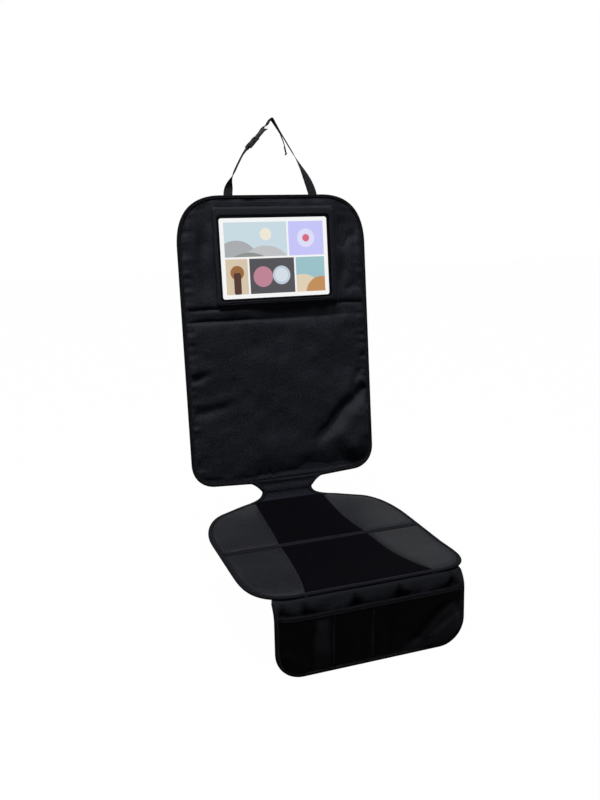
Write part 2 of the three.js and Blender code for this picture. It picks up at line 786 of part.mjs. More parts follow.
function bulgeAt(x, run) {
  const down = THREE.MathUtils.clamp((run - pocketDrop) / (meshEnd - pocketDrop), 0, 1);
  for (let i = 0; i + 1 < pocketEdges.length; i += 1) {
    const a = pocketEdges[i] + dividerWidth / 2;
    const b = pocketEdges[i + 1] - dividerWidth / 2;
    if (x > a && x < b) {
      const share = Math.min(x - a, b - x) / (b - a);
      const upper = 1 - (1 - bulgeLow) * down / bulgeBend;
      const fall = down < bulgeBend ? upper : bulgeLow * (1 - down) / (1 - bulgeBend);
      return pocketBulge * Math.min(share / bulgeSlope, 1) * fall;
    }
  }
  return 0;
}

const meshShares = [];
for (let i = 0; i + 1 < pocketEdges.length; i += 1) {
  const a = pocketEdges[i] + dividerWidth / 2;
  const b = pocketEdges[i + 1] - dividerWidth / 2;
  if (i > 0) meshShares.push(a);
  for (const share of [bulgeSlope, 1 - bulgeSlope]) meshShares.push(a + (b - a) * share);
  if (i + 2 < pocketEdges.length) meshShares.push(b);
}
const shareOf = (x) => (x + meshSide) / (2 * meshSide);
const meshColumns = [0, ...meshShares.map(shareOf), 1];
const meshLow = (x, run) => flapThick + seam + bulgeAt(x * meshSide / meshHalf(run), run) - flapCurl(x, run);
const bendRun = pocketDrop + (meshEnd - pocketDrop) * bulgeBend;
const mesh = sheet(
  flapLine, runsBetween(pocketDrop, meshEnd, meshEdge, straightStep, [flapCurlRun, bendRun]),
  (run) => -meshHalf(run), meshHalf, meshColumns, meshLow, (x, run) => meshLow(x, run) + meshThick,
);
addPiece('flap_pocket_mesh', mesh, darkCloth());
const mouthLow = (x, run) => meshLow(x, run) + meshThick + seam;
const mouthTape = sheet(
  flapLine, [pocketDrop, pocketDrop + mouthTapeHeight], (run) => -meshHalf(run), meshHalf, meshColumns,
  mouthLow, (x, run) => mouthLow(x, run) + mouthTapeThick,
);
addPiece('pocket_top_tape', mouthTape, tapeCloth());

// Headrest strap: a flat ribbon that twists from the panel's plane to edge-on

const strapDepth = edgeLift - (tapePlay + tapeThick + seam + strapThick / 2);

function ribbon(points, facing) {
  const stations = points.map((point, i) => {
    const before = points[Math.max(i - 1, 0)];
    const after = points[Math.min(i + 1, points.length - 1)];
    const along = new THREE.Vector3(after.x - before.x, after.y - before.y, 0).normalize();
    const turn = THREE.MathUtils.smoothstep(point.twistAt, 3, strapTwistRise) * Math.PI / 2;
    const wide = new THREE.Vector3(facing * Math.cos(turn), 0, -Math.sin(turn));
    wide.addScaledVector(along, -wide.dot(along)).normalize();
    const thick = new THREE.Vector3().crossVectors(along, wide);
    return (across, height) => new THREE.Vector3(point.x, point.y, strapDepth)
      .addScaledVector(wide, across).addScaledVector(thick, height);
  });
  const w = strapWidth / 2;
  const t = strapThick / 2;
  return sweep(stations, [[-w, -t], [w, -t], [w, t], [-w, t]], false);
}

const buckleAxis = new THREE.Vector2(Math.cos(degrees(buckleTilt)), Math.sin(degrees(buckleTilt)));
const buckleSide = new THREE.Vector2(-buckleAxis.y, buckleAxis.x);
const onBuckle = (along, side) => new THREE.Vector2(buckleX, buckleRise)
  .addScaledVector(buckleAxis, along).addScaledVector(buckleSide, side);
const wrapRadius = barRadius + seam + strapThick / 2;

function wrapBar(barAt, from, to, steps) {
  const points = [];
  for (let i = 0; i <= steps; i += 1) {
    const angle = degrees(from + (to - from) * i / steps);
    points.push(onBuckle(barAt + wrapRadius * Math.cos(angle), wrapRadius * Math.sin(angle)));
  }
  return points;
}

const marked = (points) => points.map((point) => ({ x: point.x, y: point.y, twistAt: point.y }));
const strapHalf = strapSpread / 2;
const leftJoin = onBuckle(-9, strapLayer / 2);
const leftClimb = new THREE.Path();
leftClimb.moveTo(-strapHalf, -strapSewn);
leftClimb.lineTo(-strapHalf, 0);
leftClimb.bezierCurveTo(-strapHalf, 22, leftJoin.x - 16, leftJoin.y - 24, leftJoin.x, leftJoin.y);
const leftPoints = [
  ...samples(leftClimb, 14),
  ...wrapBar(socketBarAt, 90, -90, 6),
  onBuckle(-9, -strapLayer / 2),
  onBuckle(-18, -strapLayer / 2 - 0.4),
];
addPiece('strap_left', ribbon(marked(leftPoints), 1), webbing(), onBack);

const apex = new THREE.Vector2(apexX, apexRise);
const leaveLip = onBuckle(lipBarAt + 14, strapLayer / 2 + 0.8);
const bow = new THREE.Vector2(strapBowX, strapBowRise);
const overTop = new THREE.Path();
const towardLip = leaveLip.clone().sub(apex).normalize();
const towardBow = bow.clone().sub(apex).normalize();
const apexSoft = 9;
overTop.moveTo(strapHalf, -strapSewn);
overTop.lineTo(strapHalf, 0);
const intoBow = bow.clone().addScaledVector(towardBow, 33);
overTop.bezierCurveTo(strapHalf - 7, 30, intoBow.x, intoBow.y, bow.x, bow.y);
overTop.lineTo(apex.x + towardBow.x * apexSoft, apex.y + towardBow.y * apexSoft);
overTop.quadraticCurveTo(apex.x, apex.y, apex.x + towardLip.x * apexSoft, apex.y + towardLip.y * apexSoft);
overTop.lineTo(leaveLip.x, leaveLip.y);
const overPoints = samples(overTop, 10);
const lipClear = barRadius + seam + strapThick / 2;
const mainPoints = [
  ...overPoints,
  onBuckle(lipBarAt + 6, lipClear + strapLayer * 0.9),
  onBuckle(lipBarAt, lipClear + strapLayer),
  onBuckle(lipBarAt - 3, lipClear + strapLayer * 0.7),
  ...wrapBar(holdBarAt, 90, 315, 8),
  onBuckle(lipBarAt - 3.6, lipClear * 0.35),
  onBuckle(lipBarAt - 1.6, lipClear * 0.92),
  onBuckle(lipBarAt, lipClear),
  onBuckle(lipBarAt + 6, lipClear - 0.2),
];

// The free tail runs back inside the main layer, over the top, then leaves it and hangs.
const backOver = [];
for (let i = overPoints.length - 1; i > 0; i -= 1) {
  const point = overPoints[i];
  if (point.y < tailLeaveRise) break;
  const ahead = overPoints[i - 1].clone().sub(overPoints[Math.min(i + 1, overPoints.length - 1)]).normalize();
  backOver.push(new THREE.Vector2(point.x + ahead.y * strapLayer, point.y - ahead.x * strapLayer));
}
const tailLine = new THREE.Path();
tailLine.moveTo(tailLeaveX - strapLayer, tailLeaveRise - 1);
tailLine.quadraticCurveTo(tailEndX - 4, (tailLeaveRise + tailEndRise) / 2 + 4, tailEndX, tailEndRise);
const tailPoints = samples(tailLine, 8);
const foldBack = [
  new THREE.Vector2(tailEndX - 1, tailEndRise - 1.6),
  new THREE.Vector2(tailEndX - strapLayer, tailEndRise),
  new THREE.Vector2(tailEndX - strapLayer - 2.6, tailEndRise + tailFold),
];
const rightPoints = marked([...mainPoints, ...backOver, ...tailPoints, ...foldBack]);
addPiece('strap_right', ribbon(rightPoints, -1), webbing(), onBack);

// Side-release buckle: local X along the strap, Y to the outer side, Z across the webbing

const buckle = new THREE.Group();
buckle.position.set(buckleX, buckleRise, strapDepth);
buckle.rotation.z = degrees(buckleTilt);
onBack.add(buckle);

// Plan shapes are drawn as (along, across) and given their thickness along local Y.
function plate(shape, thick, bevel = 0, bevelSteps = 2) {
  const geometry = slab(shape, -thick / 2, thick / 2, bevel, bevelSteps);
  geometry.rotateX(-Math.PI / 2);
  return geometry;
}

function barAcross(at, radius, length) {
  const geometry = new THREE.CylinderGeometry(radius, radius, length, 12);
  geometry.rotateX(Math.PI / 2);
  geometry.translate(at, 0, 0);
  return geometry;
}

const bodyHalf = buckleWidth / 2;
const socketShape = new THREE.Shape();
socketShape.moveTo(socketCorner, -bodyHalf + socketTaper);
socketShape.quadraticCurveTo(socketLength * 0.3, -bodyHalf, socketLength * 0.5, -bodyHalf);
socketShape.lineTo(socketLength - socketCorner, -bodyHalf);
socketShape.quadraticCurveTo(socketLength, -bodyHalf, socketLength, -bodyHalf + socketCorner);
socketShape.lineTo(socketLength, bodyHalf - socketCorner);
socketShape.quadraticCurveTo(socketLength, bodyHalf, socketLength - socketCorner, bodyHalf);
socketShape.lineTo(socketLength * 0.5, bodyHalf);
socketShape.quadraticCurveTo(socketLength * 0.3, bodyHalf, socketCorner, bodyHalf - socketTaper);
socketShape.quadraticCurveTo(0, bodyHalf - socketTaper, 0, bodyHalf - socketTaper - socketCorner);
socketShape.lineTo(0, -bodyHalf + socketTaper + socketCorner);
socketShape.quadraticCurveTo(0, -bodyHalf + socketTaper, socketCorner, -bodyHalf + socketTaper);
let socket = toManifold(plate(socketShape, buckleThick, 1.2, 3));
const halfSlot = slotWidth / 2;
const halfCavity = cavityWidth / 2;
const slotEnd = cavityEnd - socketWall;
socket = socket.subtract(toManifold(block(-2, slotEnd, -buckleThick, buckleThick, -halfSlot, halfSlot)));
socket = socket.subtract(toManifold(block(
  cavityEnd, socketLength + 2, -cavityThick / 2, cavityThick / 2, -halfCavity, halfCavity,
)));
for (const side of [-1, 1]) {
  const innerWall = side * (halfCavity - 2);
  const outside = side * (bodyHalf + 2);
  socket = socket.subtract(toManifold(block(
    windowStart, windowEnd, -cavityThick / 2, cavityThick / 2,
    Math.min(innerWall, outside), Math.max(innerWall, outside),
  )));
  const middle = (windowStart + windowEnd) / 2;
  const chord = (windowEnd - windowStart) / 2;
  const scallop = (chord * chord + scallopDepth * scallopDepth) / (2 * scallopDepth);
  const cutter = new THREE.CylinderGeometry(scallop, scallop, buckleThick + 2, 40);
  cutter.translate(middle, 0, side * (bodyHalf + scallop - scallopDepth));
  socket = socket.subtract(toManifold(cutter));
}
socket = socket.add(toManifold(barAcross(socketBarAt, barRadius, slotWidth + 2)));
addPiece('buckle_socket', fromManifold(socket), acetal(), buckle);

const plugStart = socketLength + seam;
const plugHalf = plugWidth / 2;
const baseShape = new THREE.Shape();
baseShape.moveTo(plugStart, -plugHalf + 1);
baseShape.lineTo(plugStart + 4, -plugHalf);
baseShape.lineTo(plugEnd - 3, -plugHalf);
baseShape.quadraticCurveTo(plugEnd, -plugHalf, plugEnd, -plugHalf + 3);
baseShape.lineTo(plugEnd, plugHalf - 3);
baseShape.quadraticCurveTo(plugEnd, plugHalf, plugEnd - 3, plugHalf);
baseShape.lineTo(plugStart + 4, plugHalf);
baseShape.lineTo(plugStart, plugHalf - 1);
let plug = toManifold(plate(baseShape, plugThick, 0.9));
const ladderStart = plugStart + 6;
plug = plug.subtract(toManifold(block(ladderStart, plugEnd + 2, -plugThick, plugThick, -halfSlot, halfSlot)));
plug = plug.add(toManifold(barAcross(holdBarAt, barRadius, slotWidth + 2)));
plug = plug.add(toManifold(barAcross(lipBarAt, barRadius, slotWidth + 2)));

// The thumb lip slants away from the webbing and is flared a little past the cheeks.
const lipShape = new THREE.Shape();
lipShape.moveTo(lipBarAt - 0.9, -0.4);
lipShape.lineTo(lipBarAt + 1.1, -0.2);
lipShape.lineTo(lipBarAt + lipReach, -lipReach * 0.86);
lipShape.lineTo(lipBarAt + lipReach - 1.1, -lipReach);
const lip = new THREE.ExtrudeGeometry(lipShape, { depth: plugWidth, bevelEnabled: false });
lip.translate(0, 0, -plugHalf);
plug = plug.add(toManifold(lip));

// Sprung arms: slim from the base, with a finger pad that fills the socket's side window.
const armOut = halfCavity - 0.4;
const barbEnd = windowEnd - seam;
for (const side of [-1, 1]) {
  const armShape = new THREE.Shape();
  armShape.moveTo(plugStart + 3, side * (armOut - armWidth));
  armShape.lineTo(plugStart + 3, side * armOut);
  armShape.lineTo(barbEnd, side * armOut);
  armShape.lineTo(barbEnd, side * (armOut + padReach));
  armShape.quadraticCurveTo(
    (windowStart + windowEnd) / 2, side * (armOut + padReach + 0.9), windowStart + 1.6, side * (armOut + 0.5),
  );
  armShape.lineTo(windowStart, side * (armOut - 1));
  armShape.lineTo(windowStart, side * (armOut - armWidth + 0.6));
  armShape.quadraticCurveTo(
    windowEnd, side * (armOut - armWidth - 1.2), plugStart + 3, side * (armOut - armWidth),
  );
  plug = plug.add(toManifold(plate(armShape, armThick)));
}
const guideShape = new THREE.Shape();
guideShape.moveTo(plugStart + 3, -guideWidth / 2);
guideShape.lineTo(plugStart + 3, guideWidth / 2);
guideShape.lineTo(windowStart + 3, guideWidth / 2 - 0.8);
guideShape.lineTo(windowStart + 1, 0);
guideShape.lineTo(windowStart + 3, -guideWidth / 2 + 0.8);
plug = plug.add(toManifold(plate(guideShape, armThick)));
addPiece('buckle_plug', fromManifold(plug), acetal(), buckle);

export default part;
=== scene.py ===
from math import acos, atan2, cos, hypot, pi, radians, sin, tan

import bmesh
import bpy
import numpy as np
from mathutils import Matrix, Vector


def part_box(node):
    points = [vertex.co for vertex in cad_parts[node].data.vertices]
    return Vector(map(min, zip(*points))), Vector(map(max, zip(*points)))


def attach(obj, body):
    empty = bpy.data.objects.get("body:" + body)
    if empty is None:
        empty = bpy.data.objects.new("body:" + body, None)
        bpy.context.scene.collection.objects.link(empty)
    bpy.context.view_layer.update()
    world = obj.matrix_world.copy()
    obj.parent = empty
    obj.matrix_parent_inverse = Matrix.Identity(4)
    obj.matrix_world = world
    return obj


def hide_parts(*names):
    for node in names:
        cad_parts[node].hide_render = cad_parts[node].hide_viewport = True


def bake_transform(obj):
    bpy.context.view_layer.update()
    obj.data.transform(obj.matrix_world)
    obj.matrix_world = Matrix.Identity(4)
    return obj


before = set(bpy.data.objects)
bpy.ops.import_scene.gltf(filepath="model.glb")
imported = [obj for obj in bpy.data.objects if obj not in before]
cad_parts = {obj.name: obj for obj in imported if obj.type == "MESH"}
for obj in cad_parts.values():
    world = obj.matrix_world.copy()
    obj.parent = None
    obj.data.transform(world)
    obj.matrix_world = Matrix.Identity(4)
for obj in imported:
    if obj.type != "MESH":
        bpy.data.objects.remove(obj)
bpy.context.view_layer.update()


# Seat base: a foam pad in woven cloth that lies on the car's cushion, with a neck up the crook of the seat.
# Every cloth piece of the mat is laid on its side line by (across, run, height) in millimetres, and the run
# starts at the top edge of the back panel.

def straight(a, b, step=4.0):
    a, b = np.array(a, float), np.array(b, float)
    count = max(int(np.linalg.norm(b - a) / step), 1)
    return a + (b - a) * np.linspace(0, 1, count + 1)[:, None]


def bent(points, count):
    share = np.linspace(0, 1, count + 1)[:, None]
    points = [np.array(p, float) for p in points]
    while len(points) > 1:
        points = [a + (b - a) * share for a, b in zip(points, points[1:])]
    return points[0]


def chain(*parts):
    points = np.concatenate(parts)
    kept = np.concatenate([[True], np.linalg.norm(np.diff(points, axis=0), axis=1) > 1e-6])
    return points[kept]


def lengths_along(route):
    return np.concatenate([[0.0], np.cumsum(np.linalg.norm(np.diff(route, axis=0), axis=1))])


def unit(vectors):
    return vectors / np.linalg.norm(vectors, axis=1)[:, None]


def picked(route, lengths, at):
    return np.stack([np.interp(at, lengths, route[:, k]) for k in (0, 1)], axis=1)


def line_from(points):
    run = lengths_along(points)
    return {"run": run, "at": points, "ahead": unit(np.gradient(points, run, axis=0))}


def lay(line, x, run, height):
    x, run, height = np.broadcast_arrays(x, run, height)
    kept = np.clip(run, 0, line["run"][-1])
    y, z = (np.interp(kept, line["run"], line["at"][:, k]) for k in (0, 1))
    ahead_y, ahead_z = (np.interp(kept, line["run"], line["ahead"][:, k]) for k in (0, 1))
    y = y + ahead_y * (run - kept) + ahead_z * height
    z = z + ahead_z * (run - kept) - ahead_y * height
    return np.stack([x, y, z], axis=-1) * 0.001


recline = radians(8)
up_back = np.array([sin(recline), cos(recline)])
crook = np.array([224.0, 14.0])
into_crook = np.array([98.0, 14.0]) / hypot(98, 14)
crook_turn = acos(into_crook @ up_back)
crook_radius = 24
crook_tangent = crook_radius * tan(crook_turn / 2)
back_top = crook + up_back * 671
crook_start = crook + up_back * crook_tangent
crook_end = crook - into_crook * crook_tangent
crook_centre = crook_start + np.array([-up_back[1], up_back[0]]) * crook_radius
turn_from = atan2(*(crook_start - crook_centre)[::-1])
turn_to = atan2(*(crook_end - crook_centre)[::-1])
turns = np.linspace(turn_from, turn_to, 33)
crook_arc = crook_centre + crook_radius * np.stack([np.cos(turns), np.sin(turns)], axis=1)
mat = line_from(chain(
    straight(back_top, crook_start), crook_arc, bent([crook_end, (126, 0), (78, 0)], 40),
    straight((78, 0), (-78, 0)), bent([(-78, 0), (-126, 0), (-224, 14)], 40),
))
mat_length = mat["run"][-1]

seat_outline = chain(
    bent([(59, 649), (59, 667), (84, 672), (109, 682)], 16), straight((109, 682), (164, 706)),
    bent([(164, 706), (194, 720.6), (219, 761), (219, 828)], 34),
    straight((219, 828), (219, mat_length - 122)),
    bent([(219, mat_length - 122), (219, mat_length - 53.7), (206.4, mat_length - 3.7),
          (140, mat_length - 1)], 34),
    straight((140, mat_length - 1), (0, mat_length)),
)


def inset(route, amount):
    along = unit(np.gradient(route, axis=0))
    return route + np.stack([-along[:, 1], along[:, 0]], axis=1) * amount


def half_of(route):
    order = np.argsort(route[:, 1], kind="stable")
    runs, halves = route[order, 1], np.maximum(route[order, 0], 0)
    return lambda run: np.interp(run, runs, halves)


def mirrored(half):
    return lambda run: -half(run), half


def flat_at(height):
    return lambda x, run: height + 0 * x


def both_sides(route):
    return chain(route, (route * [-1, 1])[::-1])


def beside(x, run, a, b):
    along = b - a
    share = np.clip(((x - a[0]) * along[0] + (run - a[1]) * along[1]) / (along @ along), 0, 1)
    return share, np.hypot(x - a[0] - share * along[0], run - a[1] - share * along[1])


def edge_distance(x, run, loop):
    nearest = np.full(x.shape, 1e9)
    for a, b in zip(loop, np.roll(loop, -1, axis=0)):
        if (b - a) @ (b - a) >= 1e-9:
            nearest = np.minimum(nearest, beside(x, run, a, b)[1])
    return nearest


def puff(distance, slope):
    return 1 - (1 - np.minimum(distance / slope, 1)) ** 2


def bell(offset, width):
    return np.exp(-(offset / width) ** 2)


def wander(x, y, size, seed):
    table = np.random.default_rng(seed).uniform(-1, 1, (96, 96))
    u, v = np.asarray(x) / size + 40, np.asarray(y) / size + 40
    i, j = np.floor(u).astype(int), np.floor(v).astype(int)
    s, t = u - i, v - j
    s, t = s * s * s * (s * (6 * s - 15) + 10), t * t * t * (t * (6 * t - 15) + 10)
    near = table[i % 96, j % 96] * (1 - s) + table[(i + 1) % 96, j % 96] * s
    far = table[i % 96, (j + 1) % 96] * (1 - s) + table[(i + 1) % 96, (j + 1) % 96] * s
    return near * (1 - t) + far * t


def fold(x, run, route, width, depth, fade=(0.25, 0.25)):
    route = np.array(route, float)
    lengths = lengths_along(route)
    nearest = np.full(x.shape, 1e9)
    share_at = np.zeros(x.shape)
    for i, (a, b) in enumerate(zip(route, route[1:])):
        share, gap = beside(x, run, a, b)
        closer = gap < nearest
        nearest = np.where(closer, gap, nearest)
        reached = (lengths[i] + share * (lengths[i + 1] - lengths[i])) / lengths[-1]
        share_at = np.where(closer, reached, share_at)
    start = np.clip(share_at / max(fade[0], 1e-3), 0, 1) if fade[0] else 1
    stop = np.clip((1 - share_at) / max(fade[1], 1e-3), 0, 1) if fade[1] else 1
    strength = start * start * (3 - 2 * start) * stop * stop * (3 - 2 * stop)
    return depth * strength * bell(nearest, width)


def folds(x, run, table, start=0):
    return sum((fold(x, run, *row) for row in table), start)


def new_object(name, data):
    made = bpy.data.objects.new(name, data)
    bpy.context.collection.objects.link(made)
    return made


def new_piece(name, stuff, points, faces, flat):
    mesh = bpy.data.meshes.new(name)
    mesh.from_pydata(points.reshape(-1, 3).tolist(), [], faces)
    shaped = bmesh.new()
    shaped.from_mesh(mesh)
    bmesh.ops.recalc_face_normals(shaped, faces=shaped.faces)
    shaped.to_mesh(mesh)
    shaped.free()
    corners = np.empty(len(mesh.loops), np.int32)
    mesh.loops.foreach_get("vertex_index", corners)
    layer = mesh.uv_layers.new(name="weave")
    layer.data.foreach_set("uv", flat.reshape(-1, 2)[corners].astype(np.float32).ravel())
    mesh.polygons.foreach_set("use_smooth", np.ones(len(mesh.polygons), bool))
    mesh.materials.append(stuff)
    return new_object(name, mesh)


def cloth(name, stuff, line, runs, left, right, columns, under, over):
    runs = np.asarray(runs, float)
    shares = np.linspace(0, 1, columns + 1)
    x = left(runs)[:, None] + (right(runs) - left(runs))[:, None] * shares
    run = np.broadcast_to(runs[:, None], x.shape)
    points = np.concatenate([lay(line, x, run, over(x, run)), lay(line, x, run, under(x, run))])
    wide, tall = len(shares), len(runs)
    index = np.arange(tall * wide).reshape(tall, wide)
    a, b, c, d = index[:-1, :-1], index[1:, :-1], index[1:, 1:], index[:-1, 1:]
    upper = np.stack([a, b, c, d], axis=-1).reshape(-1, 4)
    lower = upper[:, ::-1] + tall * wide
    rim = np.concatenate([index[0], index[1:, -1], index[-1, -2::-1], index[-2:0:-1, 0]])
    after = np.roll(rim, -1)
    wall = np.stack([rim, after, after + tall * wide, rim + tall * wide], axis=-1)
    faces = np.concatenate([upper, lower, wall]).tolist()
    flat = np.stack([x, run], axis=-1) * 0.001
    return new_piece(name, stuff, points, faces, np.concatenate([flat, flat]))


def spaced(start, end, step, close=()):
    runs = list(np.linspace(start, end, int((end - start) / step) + 1))
    for at in close:
        runs += [start + at, end - at]
    runs = np.unique(np.round(runs, 2))
    return runs[np.concatenate([[True], np.diff(runs) > 0.35])]


def feed(node, inputs):
    for key, value in inputs.items():
        if isinstance(value, bpy.types.NodeSocket):
            node.id_data.links.new(value, node.inputs[key])
        else:
            node.inputs[key].default_value = value


def shader(tree, kind, inputs=None, **settings):
    node = tree.nodes.new(kind)
    for key, value in settings.items():
        setattr(node, key, value)
    feed(node, inputs or {})
    return node


def maths(operation):
    def build(*terms):
        tree = next(term.id_data for term in terms if isinstance(term, bpy.types.NodeSocket))
        return shader(tree, "ShaderNodeMath", dict(enumerate(terms)), operation=operation).outputs[0]
    return build


plus, minus, times, ratio = map(maths, ("ADD", "SUBTRACT", "MULTIPLY", "DIVIDE"))
graded, larger, less, more = map(maths, ("MULTIPLY_ADD", "MAXIMUM", "LESS_THAN", "GREATER_THAN"))
unsigned, root, floored, fraction, wave = map(maths, ("ABSOLUTE", "SQRT", "FLOOR", "FRACT", "SINE"))


def stretched(vector, share):
    return shader(vector.id_data, "ShaderNodeVectorMath", {0: vector, 3: share}, operation="SCALE").outputs[0]


def parts_of(vector):
    return shader(vector.id_data, "ShaderNodeSeparateXYZ", {0: vector}).outputs


def noise(place, scale, detail):
    values = {"Vector": place, "Scale": scale, "Detail": detail}
    return shader(place.id_data, "ShaderNodeTexNoise", values).outputs["Fac"]


def between(share, low, high):
    ends = [value if isinstance(value, bpy.types.NodeSocket) else (*value, 1) for value in (low, high)]
    values = {"Factor": share, "A": ends[0], "B": ends[1]}
    return shader(share.id_data, "ShaderNodeMix", values, data_type="RGBA").outputs["Result"]


def relief(height, strength, distance):
    values = {"Strength": strength, "Distance": distance, "Height": height}
    return shader(height.id_data, "ShaderNodeBump", values).outputs[0]


def on_cloth(tree):
    return shader(tree, "ShaderNodeUVMap", uv_map="weave").outputs[0]


def new_material(name, **constants):
    made = bpy.data.materials.new(name)
    made.use_nodes = True
    surface = made.node_tree.nodes["Principled BSDF"]
    for key, value in constants.items():
        surface.inputs[key.replace("_", " ")].default_value = value
    return made, made.node_tree, surface


def new_group(name, takes, gives):
    group = bpy.data.node_groups.new(name, "ShaderNodeTree")
    for label, kind, value in takes:
        made = group.interface.new_socket(label, in_out="INPUT", socket_type=kind)
        if value is not None:
            made.default_value = value
    for label, kind in gives:
        group.interface.new_socket(label, in_out="OUTPUT", socket_type=kind)
    return group, group.nodes.new("NodeGroupInput"), group.nodes.new("NodeGroupOutput")


# Plain weave: each cell shows one yarn on top, rounded across its own width.
weave, into, out = new_group(
    "plain_weave",
    [("Place", "NodeSocketVector", None), ("Pitch", "NodeSocketFloat", 0.0008),
     ("Slub", "NodeSocketFloat", 0.4)],
    [("Height", "NodeSocketFloat"), ("Gap", "NodeSocketFloat")],
)
yarn_place = stretched(into.outputs["Place"], ratio(1.0, into.outputs["Pitch"]))
axes = parts_of(yarn_place)
across, along = (unsigned(wave(times(axes[axis], pi))) for axis in ("X", "Y"))
cells = shader(weave, "ShaderNodeCombineXYZ", {0: axes["X"], 1: axes["Y"], 2: 0.5}).outputs[0]
parity = shader(weave, "ShaderNodeTexChecker", {"Vector": cells, "Scale": 1.0}).outputs["Fac"]
warp = times(across, graded(along, 0.4, 0.6))
weft = times(along, graded(across, 0.4, 0.6))
yarn = shader(weave, "ShaderNodeMix", {"Factor": parity, "A": warp, "B": weft}).outputs[0]
uneven = times(minus(noise(yarn_place, 0.23, 2.0), 0.5), into.outputs["Slub"])
feed(out, {"Height": plus(yarn, uneven), "Gap": minus(1.0, yarn)})

# Used cloth: slow patches in tone, and the odd pale speck of lint.
cloth_wear, into, out = new_group(
    "cloth_tone",
    [("Place", "NodeSocketVector", None), ("Colour", "NodeSocketColor", (0.01, 0.01, 0.01, 1)),
     ("Patches", "NodeSocketFloat", 0.25), ("Grain", "NodeSocketFloat", 2.2),
     ("Lint", "NodeSocketFloat", 0.4)],
    [("Colour", "NodeSocketColor"), ("Tone", "NodeSocketFloat")],
)
spot = into.outputs["Place"]
slow = times(minus(noise(spot, 14.0, 4.0), 0.5), into.outputs["Patches"])
fine = times(minus(noise(spot, 320.0, 1.0), 0.5), into.outputs["Grain"])
tone = plus(slow, fine)
toned_cloth = stretched(into.outputs["Colour"], plus(1.0, times(tone, 2.0)))
speck = shader(cloth_wear, "ShaderNodeTexVoronoi", {"Vector": spot, "Scale": 130.0, "Randomness": 1.0})
close = less(speck.outputs["Distance"], 0.075)
rare = more(noise(spot, 90.0, 0.0), 0.66)
lint = times(times(close, rare), into.outputs["Lint"])
feed(out, {"Colour": between(lint, toned_cloth, (0.09, 0.09, 0.1)), "Tone": tone})


def worn(place, colour, patches, lint):
    values = {"Place": place, "Colour": (*colour, 1), "Patches": patches, "Lint": lint}
    return shader(place.id_data, "ShaderNodeGroup", values, node_tree=cloth_wear).outputs


def woven(name, colour, pitch, depth, rough, patches=0.25, lint=0.4, sheen=0.03, specular=0.12):
    made, tree, surface = new_material(
        name, Specular_IOR_Level=specular,
        Sheen_Weight=sheen, Sheen_Roughness=0.45, Sheen_Tint=(0.8, 0.84, 1, 1),
    )
    place = on_cloth(tree)
    yarns = shader(tree, "ShaderNodeGroup", {"Place": place, "Pitch": pitch}, node_tree=weave).outputs
    tones = worn(place, colour, patches, lint)
    # The base colour is darkened in the low gaps between the yarns: painted shade in the weave.
    feed(surface, {
        "Base Color": stretched(tones["Colour"], minus(1.0, times(yarns["Gap"], 0.45))),
        "Roughness": plus(rough, times(tones["Tone"], 0.5)),
        "Normal": relief(yarns["Height"], 0.6, depth),
    })
    return made


seat_cloth = woven("seat_cloth", (0.0115, 0.013, 0.019), 0.0009, 0.0003, 0.8)
tape_in = 8.6
strip_start = mat_length - 440
base_thick, edge_thin, sewn_in = 5, 1.8, 9
seat_edge = half_of(inset(seat_outline, 1.5))


def base_top(x, run):
    crease = fold(x, run, [(-60, 655), (60, 655)], 3.0, -1.2, (0, 0))
    puckers = 0.7 * wander(x, run * 0.25, 9, 11) * bell(run - 668, 20)
    return base_thick + crease + puckers


def base_under(x, run):
    deep = (np.abs(x) < seat_edge(run) - sewn_in) & (run > strip_start) & (run < mat_length - sewn_in)
    return np.where(deep, 0.0, edge_thin)


seat_base = cloth(
    "seat_base_cloth", seat_cloth, mat, spaced(649.2, mat_length - 2.5, 4.5, (1, 2)),
    *mirrored(seat_edge), 90, base_under, base_top,
)
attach(seat_base, "mat")
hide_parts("seat_base")


# Seat panels: four leather-look panels with a thin foam behind them, sewn down along every edge, so that
# each one is crowned. The grain is embossed and the sewn edges pull small puckers into it.
panel_route = inset(seat_outline, tape_in + 0.3)
panel_half = half_of(panel_route[panel_route[:, 1] < mat_length - 9.2])
panel_under, panel_top = 5.3, 6.3
tape_middle, tape_half = mat_length - 230, 7
tape_rear, tape_front = tape_middle - tape_half, tape_middle + tape_half
rear_end, front_start, panel_end = tape_rear - 0.3, tape_front + 0.3, mat_length - tape_in - 1.4
strip_neck, strip_joint, strip_front = 81, 94, 126
rear_middle, front_middle = (strip_start + tape_rear) / 2 + 30, (tape_front + panel_end) / 2 + 22
strip_half = half_of(chain(
    straight((strip_neck, 640), (strip_neck, strip_start)),
    bent([(strip_neck, strip_start), (strip_neck, rear_middle), (strip_joint, tape_rear)], 24),
    bent([(strip_joint, tape_front), (99, front_middle), (strip_front, panel_end)], 24),
))

leather, tree, surface = new_material("leather_look", Specular_IOR_Level=0.35)
place = on_cloth(tree)
pebbles = shader(tree, "ShaderNodeTexVoronoi", {"Vector": place, "Scale": 620.0}, feature="SMOOTH_F1")
pebbles = pebbles.outputs["Distance"]
grain = graded(noise(place, 1900.0, 3.0), 0.35, minus(1.0, pebbles))
feed(surface, {
    "Base Color": worn(place, (0.0109, 0.0114, 0.0148), 0.5, 0.25)["Colour"],
    "Roughness": graded(pebbles, 0.16, 0.42),
    "Normal": relief(grain, 0.55, 0.0004),
})


